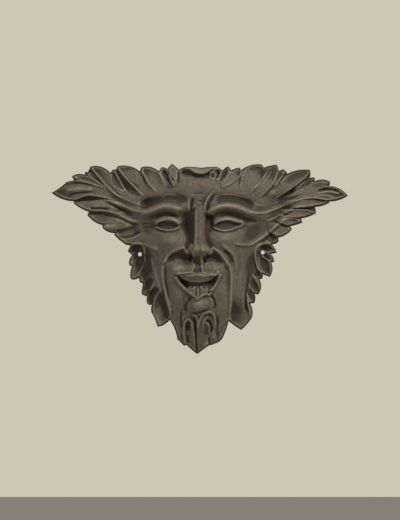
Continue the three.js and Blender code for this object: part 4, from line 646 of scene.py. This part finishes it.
def centre_roll(r):
    """The rolled-over top edge in the middle, with its curl on the right."""
    ridge, boss = r.ridge, r.boss
    ridge([(-22, 94.6), (-14, 93.2), (-10.5, 91.8), (-7.6, 89.6), (-4.5, 88.6), (0, 88.1), (4, 88.8), (7.4, 90.6),
           (10.8, 92.6), (15, 94.4)], 5.0, 3.8, 1.2, ends=(0.1, 0.08), power=2.6)
    ridge([(-12, 95.2), (0, 93.2), (12, 95.2)], -1.2, 1.4, 1.6)
    ridge([(-11, 87.6), (-4, 85.6), (4, 85.6), (12, 87)], -3.0, 2.0, 2.6)
    boss(-17, 89, 7, 4, -1.8, turn=-15)
    boss(18.4, 90.6, 2.6, 2.2, -4.5)
    ridge([(19, 89.5), (18.2, 86), (17, 82.6)], -3.0, 1.2, 1.2, ends=(0.1, 0.2))
    ridge([(21.5, 94), (22, 89.6), (20.2, 85.2), (17.8, 81.4), (15.8, 79)], 3.0, 1.3, 1.3, ends=(0.1, 0.15))
    ridge([(14.8, 89.6), (12.4, 89.4), (9.8, 87.6), (9, 85), (10, 82.8), (13, 82), (15, 84)], 2.4, 1.2, 1.2,
          ends=(0.1, 0.1))
    boss(12.4, 85.6, 1.6, 1.8, -2.0)
    ridge([(-25.4, 92), (-25.8, 84), (-26.6, 77)], -2.2, 0.9, 1.3)
    boss(-22.6, 85, 2.6, 2.4, 1.6)


def carved(x, z, inward):
    """Heights over the wall at places that lie a known distance in from the outline, with the edge and its bead."""
    relief = Relief(x, z)
    for region in (wings, sides, face, mouth_and_beard, centre_roll):
        region(relief)
    bead = RIM * bell((inward - RIM_IN) / 1.1) * smooth((relief.high - 6) / 3)
    high = EDGE + (relief.high - EDGE) * smooth((inward + 0.2) / BEVEL) + bead
    turned = LIP - np.clip(inward, 0, LIP)
    return high - LIP + np.sqrt(LIP ** 2 - turned ** 2)


def circle(x, z, radius, steps):
    """Points round a circle, anticlockwise, so that it bounds a hole in a clockwise outline."""
    turn = np.linspace(0, 2 * math.pi, steps, endpoint=False)
    return np.stack([x + radius * np.cos(turn), z + radius * np.sin(turn)], 1)


def inset(loop, far):
    """A closed clockwise line moved to its inner side by a distance, corner by corner."""
    along = np.roll(loop, -1, axis=0) - np.roll(loop, 1, axis=0)
    along = along / np.hypot(*along.T)[:, None]
    return loop + far * np.stack([along[:, 1], -along[:, 0]], 1)


def rows_inside(xs, zs, loop):
    """Which places of a grid lie inside a closed line: those with an odd number of crossings to their left."""
    a, b = loop, np.roll(loop, -1, axis=0)
    inside = np.zeros((len(zs), len(xs)), bool)
    for row, z in enumerate(zs):
        hit = (np.minimum(a[:, 1], b[:, 1]) <= z) & (z < np.maximum(a[:, 1], b[:, 1]))
        crossings = a[hit, 0] + (z - a[hit, 1]) * (b[hit, 0] - a[hit, 0]) / (b[hit, 1] - a[hit, 1])
        inside[row] = np.searchsorted(np.sort(crossings), xs) % 2 == 1
    return inside


def grid_distance(xs, zs, loop, reach):
    """Distance of each place of a grid from a closed line, no more than reach."""
    far = np.full((len(zs), len(xs)), float(reach))
    for a, b in zip(loop, np.roll(loop, -1, axis=0)):
        columns = slice(*np.searchsorted(xs, (min(a[0], b[0]) - reach, max(a[0], b[0]) + reach)))
        rows = slice(*np.searchsorted(zs, (min(a[1], b[1]) - reach, max(a[1], b[1]) + reach)))
        near = to_line(xs[None, columns], zs[rows, None], a, b)[0]
        far[rows, columns] = np.minimum(far[rows, columns], near)
    return far


def distance(points, loop):
    """Distance of each point from a closed line."""
    far = np.full(len(points), np.inf)
    for a, b in zip(loop, np.roll(loop, -1, axis=0)):
        far = np.minimum(far, to_line(points[:, 0], points[:, 1], a, b)[0])
    return far


def hole_distance(x, z):
    """Distance of each place from the nearer screw hole's middle."""
    return np.minimum(*(np.hypot(x - hx, z - hz) for hx, hz in SCREW_HOLES))


def spread(field, radius):
    """A field spread by a bell of that radius in grid steps, along its rows and then its columns."""
    reach = math.ceil(2.5 * radius)
    weights = bell(np.arange(-reach, reach + 1) / (radius * math.sqrt(2)))
    for axis in (0, 1):
        field = np.moveaxis(field, axis, 0)
        padded = np.pad(field, ((reach, reach), (0, 0)), mode="edge")
        field = sum(w * padded[k:k + len(field)] for k, w in enumerate(weights / weights.sum()))
        field = np.moveaxis(field, 0, axis)
    return field


def lowest_near(field, reach):
    """The lowest value within reach grid steps of each place."""
    for axis in (0, 1):
        field = np.moveaxis(field, axis, 0)
        padded = np.pad(field, ((reach, reach), (0, 0)), mode="edge")
        field = np.min([padded[k:k + len(field)] for k in range(2 * reach + 1)], axis=0)
        field = np.moveaxis(field, 0, axis)
    return field


def sampled(field, xs, zs, points):
    """A grid's field at other points, weighed between the four places round each."""
    column = np.clip((points[:, 0] - xs[0]) / (xs[1] - xs[0]), 0, len(xs) - 1.001)
    row = np.clip((points[:, 1] - zs[0]) / (zs[1] - zs[0]), 0, len(zs) - 1.001)
    i, j = row.astype(int), column.astype(int)
    down, right = row - i, column - j
    upper = field[i, j] * (1 - right) + field[i, j + 1] * right
    lower = field[i + 1, j] * (1 - right) + field[i + 1, j + 1] * right
    return upper * (1 - down) + lower * down


def triangulated(points, loops):
    """Delaunay triangles between points, facing the viewer, that keep to the inside of the loops.

    The loops are the first points, one after the other. Every triangle outside has all three corners on a loop,
    so only those are tested, by the crossings of their middles.
    """
    edges, start = [], 0
    for loop in loops:
        ids = np.arange(start, start + len(loop))
        edges.append(np.stack([ids, np.roll(ids, -1)], 1))
        start += len(loop)
    made = delaunay_2d_cdt(list(map(Vector, points.tolist())), np.vstack(edges).tolist(), [], 0, 1e-7, True)
    source = np.array([ids[0] for ids in made[3]])
    faces = source[np.array(made[2])]
    outer = np.all(faces < start, axis=1)
    middles = points[faces[outer]].mean(1)
    inside = np.zeros(len(middles), bool)
    for loop in loops:
        a, b = loop, np.roll(loop, -1, axis=0)
        for (ax, az), (bx, bz) in zip(a, b):
            if az != bz:
                hit = ((az > middles[:, 1]) != (bz > middles[:, 1]))
                inside ^= hit & (middles[:, 0] < ax + (middles[:, 1] - az) * (bx - ax) / (bz - az))
    keep = np.ones(len(faces), bool)
    keep[outer] = inside
    faces = faces[keep]
    (ax, az), (bx, bz), (cx, cz) = (points[faces[:, k]].T for k in range(3))
    turned = (bx - ax) * (cz - az) - (bz - az) * (cx - ax) < 0
    faces[turned] = faces[turned][:, ::-1]
    return faces


def patina(x, z):
    """The named patches added up: above 0 painted shade in hollows, under the lids, on the nose's side and beside the
    panel, and darker leaf tips along the top; below 0 painted highlights on swells.
    """
    total = np.zeros_like(x)
    for px, pz, along, across, turn, amount in SHADE_AND_LIGHT_PATCHES:
        c, s = math.cos(math.radians(turn)), math.sin(math.radians(turn))
        dx, dz = x - px, z - pz
        total += amount * bell(np.hypot((dx * c + dz * s) / along, (dz * c - dx * s) / across), 2.4)
    return total


def wear_highlight_dirt_and_shade(x, z, high, inside, inward, step):
    """How far each place is rubbed bare and painted lighter as highlight, and how far it is dirty and painted darker as
    shade, from 0 to 1 each.

    At some widths, the height is set against the surroundings' mean height and divided by the width: what stands out
    is rubbed and painted lighter as highlight, and what lies below is dirty and painted darker as shade in the hollow.
    Places are also darker along the outer edge, more so towards the top, and the patches of painted shade and painted
    highlight are added.
    """
    patches = patina(x, z)
    # the paler patches are painted highlights
    worn_and_highlit = -patches
    # the darker patches are painted shade and darker leaf tips; the outline is also darker, more so towards the top
    dirt_and_shade_field = np.maximum(patches, 0) + EDGE_DARKENING * bell(inward / 5.5) * smooth((z - 30) / 30)
    for radius, wear_and_highlight_share, dirt_and_shade_share in WEAR_HIGHLIGHT_AND_SHADE_WIDTHS:
        weight = np.maximum(spread(inside.astype(float), radius / step), 0.05)
        mean = spread(np.where(inside, high, 0), radius / step) / weight
        below = np.clip((mean - high) / radius, -1.0, 1.4)
        # what stands out is rubbed and painted lighter as highlight; what lies below is dirty and painted darker as
        # shade in the hollow
        worn_and_highlit = worn_and_highlit - wear_and_highlight_share * below * smooth(inward / 5)
        dirt_and_shade_field = dirt_and_shade_field + dirt_and_shade_share * below
    return np.clip(worn_and_highlit, 0, 1), np.clip(dirt_and_shade_field, 0, 1)


def hollow(points, far, xs, zs, high, look):
    """Heights of the back over the wall: the front's lowest near each point less the wall, within its margins."""
    step = xs[1] - xs[0]
    roof = sampled(spread(lowest_near(high, round(4.5 / step)), 2.5 / step), xs, zs, points) - look.wall / MM
    room = np.minimum(far - look.flange / MM, hole_distance(*points.T) - look.pad / MM)
    return np.clip(np.minimum(roof, 1.3 * room), 0, None)


def mask_surface(look):
    """The casting as points in metres, faces, and at each point the wear with painted highlight and the dirt with
    painted shade.

    The front's points are a grid inside the outline, and rings close to the outline; the back's are a wider grid.
    Both hold the same loops, the outline and the screw holes, which a band of quads joins.
    """
    step, wide = look.detail / MM, look.back_detail / MM
    outline = arcs(OUTLINE, step * 1.1)
    holes = [circle(x, z, look.screw_hole / MM / 2, 30) for x, z in SCREW_HOLES]
    loops = [outline] + holes
    border = np.vstack(loops)
    low, high = outline.min(0), outline.max(0)

    xs, zs = np.arange(low[0], high[0] + step, step), np.arange(low[1], high[1] + step, step)
    inside = rows_inside(xs, zs, outline)
    inward = np.where(inside, grid_distance(xs, zs, outline, 12), 0)
    x, z = np.meshgrid(xs, zs)
    heights = carved(x, z, inward)
    worn_and_highlit, dirt_and_shade_field = wear_highlight_dirt_and_shade(x, z, heights, inside, inward, step)

    rings = []
    for far in (0.4 * step, step, 1.7 * step):
        ring = inset(outline, far)
        rings.append(ring[distance(ring, outline) > 0.9 * far])
    for (hx, hz), hole in zip(SCREW_HOLES, holes):
        rings.append(circle(hx, hz, look.screw_hole / MM / 2 + 0.6 * step, len(hole)))
    rings = np.vstack(rings)
    open_grid = (inward > 2.2 * step) & (hole_distance(x, z) > look.screw_hole / MM / 2 + 1.1 * step)
    near_border = np.vstack([border, rings])
    near_inward = distance(near_border, outline)
    near_inward[:len(outline)] = 0
    front = np.vstack([near_border, np.stack([x[open_grid], z[open_grid]], 1)])
    front_high = np.concatenate([carved(*near_border.T, near_inward), heights[open_grid]])
    front_faces = triangulated(front, loops)

    bx, bz = np.arange(low[0], high[0], wide), np.arange(low[1], high[1], wide)
    back_inward = grid_distance(bx, bz, outline, 60)
    x, z = np.meshgrid(bx, bz)
    clear = rows_inside(bx, bz, outline) & (back_inward > 0.6 * wide)
    clear &= hole_distance(x, z) > look.screw_hole / MM / 2 + 0.5 * wide
    back = np.vstack([border, np.stack([x[clear], z[clear]], 1)])
    back_high = np.zeros(len(back))
    back_high[len(border):] = hollow(back[len(border):], back_inward[clear], xs, zs, heights, look)
    back_faces = triangulated(back, loops)[:, ::-1] + len(front)

    band, start = [], 0
    for loop in loops:
        here = np.arange(start, start + len(loop))
        after = np.roll(here, -1)
        band.append(np.stack([here, after, after + len(front), here + len(front)], 1))
        start += len(loop)
    flat = np.vstack([front, back])
    points = np.stack([flat[:, 0], -np.concatenate([front_high, back_high]), flat[:, 1]], 1) * MM
    faces = front_faces.tolist() + back_faces.tolist() + np.vstack(band).tolist()
    plain = np.zeros(len(back))
    # wear with painted highlight, and dirt with painted shade, at the front's points
    wear_and_highlight = np.concatenate([sampled(worn_and_highlit, xs, zs, front), plain])
    dirt_and_shade = np.concatenate([sampled(dirt_and_shade_field, xs, zs, front), plain + BACK_DIRT])
    back_edge = np.concatenate([np.zeros(len(front), bool), np.arange(len(back)) < len(border)])
    return points, faces, wear_and_highlight, dirt_and_shade, back_edge


def mesh_object(name, points, faces, material):
    """A new object in the scene with its mesh, smooth and with one material."""
    mesh = bpy.data.meshes.new(name)
    mesh.from_pydata(points.tolist(), [], faces)
    mesh.materials.append(material)
    mesh.polygons.foreach_set("use_smooth", np.ones(len(mesh.polygons), bool))
    mesh.update()
    thing = bpy.data.objects.new(name, mesh)
    bpy.context.scene.collection.objects.link(thing)
    return thing


def set_attribute(mesh, name, kind, domain, values):
    """Stores one value per point or edge on a mesh."""
    mesh.attributes.new(name, kind, domain).data.foreach_set("value", values)


class Nodes:
    """A node tree, filled one node at a time."""

    def __init__(self, tree):
        tree.nodes.clear()
        self.tree = tree

    def add(self, kind, settings=None, inputs=None, output=0):
        """A new node of a kind, its settings set first, then its inputs by name or number; gives one output."""
        node = self.tree.nodes.new(kind)
        for name, value in (settings or {}).items():
            setattr(node, name, value)
        for name, value in (inputs or {}).items():
            if isinstance(value, Value):
                self.tree.links.new(value.socket, node.inputs[name])
            else:
                node.inputs[name].default_value = value
        return Value(self, node.outputs[output]) if node.outputs else None

    def mix(self, share, first, second, blend="MIX"):
        """One colour laid over another by a share."""
        colours = [c if isinstance(c, Value) else (*c, 1.0) for c in (first, second)]
        return self.add("ShaderNodeMix", {"data_type": "RGBA", "blend_type": blend},
                        {0: share, 6: colours[0], 7: colours[1]}, 2)

    def noise(self, place, size, detail=2.0, roughness=0.5, distortion=0.0):
        """Soft noise from 0 to 1 whose patches are about size metres wide."""
        return self.add("ShaderNodeTexNoise", {}, {"Vector": place, "Scale": 1 / size, "Detail": detail,
                                                   "Roughness": roughness, "Distortion": distortion})


class Value:
    """A node's output. Arithmetic on it adds Math nodes."""

    def __init__(self, nodes, socket):
        self.nodes, self.socket = nodes, socket

    def combined(self, operation, first, second=0.0):
        return self.nodes.add("ShaderNodeMath", {"operation": operation}, {0: first, 1: second})

    def __add__(self, other):
        return self.combined("ADD", self, other)

    __radd__ = __add__

    def __sub__(self, other):
        return self.combined("SUBTRACT", self, other)

    def __rsub__(self, other):
        return self.combined("SUBTRACT", other, self)

    def __mul__(self, other):
        return self.combined("MULTIPLY", self, other)

    __rmul__ = __mul__

    def __pow__(self, other):
        return self.combined("POWER", self, other)

    def between(self, low, high):
        """0 below low and 1 above high, smooth in between; where low is the greater, the other way round."""
        return self.nodes.add("ShaderNodeMapRange", {"interpolation_type": "SMOOTHSTEP"},
                              {"Value": self, "From Min": low, "From Max": high})


def cast_iron(look):
    """Sand-cast iron under an old brown patina, rubbed to grey with painted highlight on what stands out, and dark with
    dirt and painted shade in the hollows.
    """
    material = bpy.data.materials.new("dark_iron")
    material.use_nodes = True
    n = Nodes(material.node_tree)
    place = n.add("ShaderNodeTexCoord", output="Object")
    wear_and_highlight = n.add("ShaderNodeAttribute", {"attribute_name": "wear_and_highlight"}, output="Fac")
    dirt_and_shade = n.add("ShaderNodeAttribute", {"attribute_name": "dirt_and_shade"}, output="Fac")

    clouds = n.noise(place, 0.030, 3, 0.6)
    tinge = n.noise(place, 0.017, 2, 0.5, 0.6)
    speck = n.noise(place, 0.0026, 3, 0.65)
    grain = n.noise(place, 0.0011, 2, 0.6)
    pits = n.add("ShaderNodeTexVoronoi", {"feature": "SMOOTH_F1"},
                 {"Vector": place, "Scale": 1 / 0.0024, "Randomness": 1.0, "Smoothness": 0.3})
    pitted = pits.between(0.42, 0.08)

    iron = n.mix(clouds.between(0.35, 0.65), look.patina, look.olive)
    iron = n.mix(tinge.between(0.52, 0.72) * 0.7, iron, look.umber)
    # dirt and painted shade in the hollows and the darker patches
    dirty_and_shaded = (dirt_and_shade * 1.25 + (speck - 0.5) * 0.5).between(0.05, 0.75)
    iron = n.mix(dirty_and_shaded * look.dirt_and_shade_share, iron, look.dirt_and_shade_colour)
    # rubbed grey iron and painted highlight on what stands out
    rubbed_and_highlit = (wear_and_highlight * 1.4 + (speck - 0.5) * 0.55 + (clouds - 0.5) * 0.3).between(0.12, 0.85)
    iron = n.mix(rubbed_and_highlit * look.wear_and_highlight_share, iron, look.rubbed_and_highlight_colour)
    mottle = 0.4 + speck * 0.8 + grain * 0.4
    dots = 1 - pitted * 0.4
    shade = mottle * dots
    colour = n.mix(1.0, iron, n.add("ShaderNodeCombineColor", {}, {0: shade, 1: shade, 2: shade}), "MULTIPLY")

    rough = look.roughness - rubbed_and_highlit * 0.16 + dirty_and_shaded * 0.14 + (grain - 0.5) * 0.2
    relief = grain * 0.35 + speck * 0.5 - pitted * 0.5 * (1 - rubbed_and_highlit * 0.5)
    normal = n.add("ShaderNodeBump", {}, {"Strength": look.grain, "Distance": 0.0005, "Height": relief})
    shader = n.add("ShaderNodeBsdfPrincipled", {}, {
        "Base Color": colour, "Roughness": rough, "Metallic": rubbed_and_highlit * 0.3, "Normal": normal,
        "Specular IOR Level": 0.25,
    })
    n.add("ShaderNodeOutputMaterial", {}, {"Surface": shader})
    return material


def plain(name, colour, roughness=0.9):
    """One even colour, for the stage."""
    material = bpy.data.materials.new(name)
    material.use_nodes = True
    n = Nodes(material.node_tree)
    shader = n.add("ShaderNodeBsdfPrincipled", {}, {"Base Color": (*colour, 1.0), "Roughness": roughness})
    n.add("ShaderNodeOutputMaterial", {}, {"Surface": shader})
    return material


def soft_light(name, place, aim, size, watts, colour):
    """A square area light at a place, turned to face aim."""
    lamp = bpy.data.lights.new(name, "AREA")
    lamp.shape, lamp.size, lamp.energy, lamp.color = "SQUARE", size, watts, colour
    light = bpy.data.objects.new(name, lamp)
    light.location = place
    light.rotation_euler = (Vector(aim) - Vector(place)).to_track_quat("-Z", "Y").to_euler()
    bpy.context.scene.collection.objects.link(light)


def pale_world(seen, colour, strength):
    """A plain pale surrounding: one strength for light, and its own colour where the camera sees it."""
    world = bpy.data.worlds.new("pale_room")
    world.use_nodes = True
    bpy.context.scene.world = world
    n = Nodes(world.node_tree)
    direct = n.add("ShaderNodeLightPath", output="Is Camera Ray")
    lit = n.add("ShaderNodeBackground", {}, {"Color": (*colour, 1.0), "Strength": strength})
    shown = n.add("ShaderNodeBackground", {}, {"Color": (*seen, 1.0), "Strength": 1.0})
    both = n.add("ShaderNodeMixShader", {}, {0: direct, 1: lit, 2: shown})
    n.add("ShaderNodeOutputWorld", {}, {"Surface": both})


# width in millimetres at which a place is set against its surroundings, and its share of the wear with painted
# highlight and of the dirt with painted shade in hollows
WEAR_HIGHLIGHT_AND_SHADE_WIDTHS = ((1.2, 0.7, 0.35), (3.0, 0.3, 0.6), (7.0, 0.1, 0.8), (14.0, 0.0, 0.6))
# how much darker the relief is along the outline, more so towards the top
EDGE_DARKENING = 0.45
# Patches painted darker (above 0) or paler (below 0): x, z, half length, half width, turn in degrees, and the amount.
# The darker ones are painted shade and darker leaf tips along the top; the paler ones are painted highlights
SHADE_AND_LIGHT_PATCHES = (
    (-0.5, 30, 27, 4.5, 90, 0.9), (-161, 66, 9, 7, 15, 0.35), (56, 22, 14, 8, 40, 0.35), (-60, 25, 13, 8, -30, 0.25),
    (29, 30, 15, 4, 0, 0.35), (-37, 30, 14, 4, 0, 0.3), (-1, 58, 14, 5, 0, 0.5), (20, 56, 16, 4, 0, 0.3), (-24, 55, 12, 4, 0, 0.3),
    (100, 84, 16, 7, 38, 0.45), (128, 77, 12, 5, 8, 0.4), (75, 92, 11, 8, 30, 0.4), (38, 93, 10, 5, 30, 0.3),
    (58, 93, 12, 5, 10, 0.3), (-72, 93, 10, 5, -15, 0.3), (42, -24, 30, 4.5, 90, 0.45), (48, 6, 9, 5, 100, 0.35), (-44, -22, 18, 3.4, 100, 0.45),
    (-101, 31, 9, 6, 10, -0.5), (-48, -66, 10, 6, 80, -0.5), (-4, -56, 4.6, 4.2, 0, -0.7), (-24, -18, 8, 5, 0, -0.3),
    (-112, 56, 13, 4, 0, -0.3), (-136, 71, 8, 3.4, 0, -0.3), (78, 67, 10, 6, 20, -0.3), (-80, 66, 12, 6, -30, -0.3),
)
BACK_DIRT = 0.35


class MaskLook(bpy.types.PropertyGroup):
    """Sizes and colours of the casting."""
    detail: bpy.props.FloatProperty(
        name="Detail", description="Spacing of the front's points", default=0.72 * MM, unit="LENGTH", precision=5)
    back_detail: bpy.props.FloatProperty(
        name="Back detail", description="Spacing of the back's points", default=3.0 * MM, unit="LENGTH", precision=5)
    wall: bpy.props.FloatProperty(
        name="Wall", description="Least thickness over the hollow", default=5.0 * MM, unit="LENGTH", precision=5)
    flange: bpy.props.FloatProperty(
        name="Flange", description="Flat margin between the outline and the hollow", default=7.0 * MM,
        unit="LENGTH", precision=5)
    pad: bpy.props.FloatProperty(
        name="Screw pad", description="Radius of the flat pad round a screw hole", default=9.0 * MM,
        unit="LENGTH", precision=5)
    screw_hole: bpy.props.FloatProperty(
        name="Screw hole", description="Diameter of the two screw holes", default=4.5 * MM, unit="LENGTH",
        precision=5)
    patina: bpy.props.FloatVectorProperty(
        name="Patina", description="Main colour of the iron", default=(0.112, 0.088, 0.064), subtype="COLOR")
    olive: bpy.props.FloatVectorProperty(
        name="Olive", description="Greener patches of the patina", default=(0.098, 0.086, 0.058), subtype="COLOR")
    umber: bpy.props.FloatVectorProperty(
        name="Umber", description="Purple-brown patches of the patina", default=(0.085, 0.062, 0.056),
        subtype="COLOR")
    # colour of the dirt and painted shade in the hollows
    dirt_and_shade_colour: bpy.props.FloatVectorProperty(
        name="Dirt_and_shade", description="Dirt in the hollows", default=(0.028, 0.021, 0.016), subtype="COLOR")
    # colour of the rubbed iron and of the painted highlights
    rubbed_and_highlight_colour: bpy.props.FloatVectorProperty(
        name="Highlit_and_rubbed iron", description="Where the patina is rubbed off", default=(0.30, 0.26, 0.20),
        subtype="COLOR")
    # strength of the rubbing and painted highlights
    wear_and_highlight_share: bpy.props.FloatProperty(
        name="Wear_and_highlight", description="How far the raised parts are rubbed", default=0.5, min=0, max=1)
    # strength of the dirt and painted shade
    dirt_and_shade_share: bpy.props.FloatProperty(
        name="Dirt share", description="How dark the hollows are", default=0.8, min=0, max=1)
    roughness: bpy.props.FloatProperty(
        name="Roughness", description="Roughness of the patina", default=0.72, min=0, max=1)
    grain: bpy.props.FloatProperty(
        name="Grain", description="Strength of the cast skin's grain", default=0.5, min=0, max=1)


class StageLook(bpy.types.PropertyGroup):
    """Camera, light and surroundings."""
    distance: bpy.props.FloatProperty(
        name="Camera distance", description="From the wall plane", default=3.0, unit="LENGTH")
    view_width: bpy.props.FloatProperty(
        name="View width", description="Width of the picture at the mask", default=446 * MM, unit="LENGTH")
    centre: bpy.props.FloatVectorProperty(
        name="View centre", description="Point of the wall plane in the middle of the picture",
        default=(-1.5 * MM, 0.0, -7.4 * MM), subtype="XYZ", unit="LENGTH")
    floor_drop: bpy.props.FloatProperty(
        name="Floor", description="How far the floor lies below the mask's middle", default=0.8, unit="LENGTH")
    surroundings: bpy.props.FloatVectorProperty(
        name="Surroundings", description="Pale colour behind the mask", default=(0.623, 0.571, 0.456),
        subtype="COLOR")
    floor: bpy.props.FloatVectorProperty(
        name="Floor colour", description="Pale colour of the floor", default=(0.60, 0.56, 0.48), subtype="COLOR")
    ambient: bpy.props.FloatProperty(
        name="Ambient", description="Strength of the light from all round", default=0.36, min=0)
    key: bpy.props.FloatProperty(
        name="Key light", description="From the viewer's upper right", default=35, unit="POWER")
    fill: bpy.props.FloatProperty(
        name="Fill light", description="From the viewer's left", default=15, unit="POWER")


class FOLIATE_OT_cast_mask(bpy.types.Operator):
    """Cast the mask in iron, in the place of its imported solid"""
    bl_idname = "foliate.cast_mask"
    bl_label = "Cast the mask"

    def execute(self, context):
        look = context.scene.mask_look
        points, faces, wear_and_highlight, dirt_and_shade, back_edge = mask_surface(look)
        mask = mesh_object("carved_mask", points, faces, cast_iron(look))
        # wear with painted highlight and dirt with painted shade, read by the material
        set_attribute(mask.data, "wear_and_highlight", "FLOAT", "POINT", wear_and_highlight)
        set_attribute(mask.data, "dirt_and_shade", "FLOAT", "POINT", dirt_and_shade)
        ends = np.zeros(2 * len(mask.data.edges), int)
        mask.data.edges.foreach_get("vertices", ends)
        set_attribute(mask.data, "sharp_edge", "BOOLEAN", "EDGE", back_edge[ends.reshape(-1, 2)].all(1))
        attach(mask, "root")
        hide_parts(NODE)
        return {"FINISHED"}


class FOLIATE_OT_set_stage(bpy.types.Operator):
    """Set the pale stage, its soft lights and the camera"""
    bl_idname = "foliate.set_stage"
    bl_label = "Set the stage"

    def execute(self, context):
        scene, stage = context.scene, context.scene.stage_look
        centre = Vector(stage.centre)
        reach = 6.0
        corners = np.array([(-reach, -reach, 0), (reach, -reach, 0), (reach, reach, 0), (-reach, reach, 0)])
        floor = mesh_object("floor", corners - (0, 0, stage.floor_drop), [(0, 1, 2, 3)],
                            plain("pale_floor", stage.floor))
        pale_world(stage.surroundings, (1.0, 0.98, 0.94), stage.ambient)
        soft_light("key", (1.0, -1.25, 1.15), centre, 0.55, stage.key, (1.0, 0.97, 0.92))
        soft_light("fill", (-1.5, -1.6, 0.1), centre, 1.2, stage.fill, (0.95, 0.97, 1.0))

        data = bpy.data.cameras.new("camera")
        camera = bpy.data.objects.new("camera", data)
        camera.location = centre - Vector((0, stage.distance, 0))
        camera.rotation_euler = (math.radians(90), 0, 0)
        data.sensor_width = 36.0
        height = stage.view_width * PICTURE[1] / PICTURE[0]
        data.lens = data.sensor_width * stage.distance / height
        data.clip_start, data.clip_end = 0.01, 50.0
        scene.collection.objects.link(camera)
        scene.camera = camera
        scene.view_settings.view_transform = "Standard"
        return {"FINISHED"}


class FOLIATE_PT_panel(bpy.types.Panel):
    """Lists the steps"""
    bl_idname = "FOLIATE_PT_panel"
    bl_label = "Foliate mask"
    bl_space_type = "VIEW_3D"
    bl_region_type = "UI"
    bl_category = "Foliate mask"

    def draw(self, context):
        for step in OPERATORS:
            self.layout.operator(step.bl_idname)


OPERATORS = (FOLIATE_OT_cast_mask, FOLIATE_OT_set_stage)
CLASSES = (MaskLook, StageLook, *OPERATORS, FOLIATE_PT_panel)


def register():
    for cls in CLASSES:
        bpy.utils.register_class(cls)
    bpy.types.Scene.mask_look = bpy.props.PointerProperty(type=MaskLook)
    bpy.types.Scene.stage_look = bpy.props.PointerProperty(type=StageLook)


def unregister():
    del bpy.types.Scene.stage_look
    del bpy.types.Scene.mask_look
    for cls in reversed(CLASSES):
        bpy.utils.unregister_class(cls)


def main():
    register()
    bpy.ops.foliate.cast_mask()
    bpy.ops.foliate.set_stage()


if __name__ == "__main__":
    main()
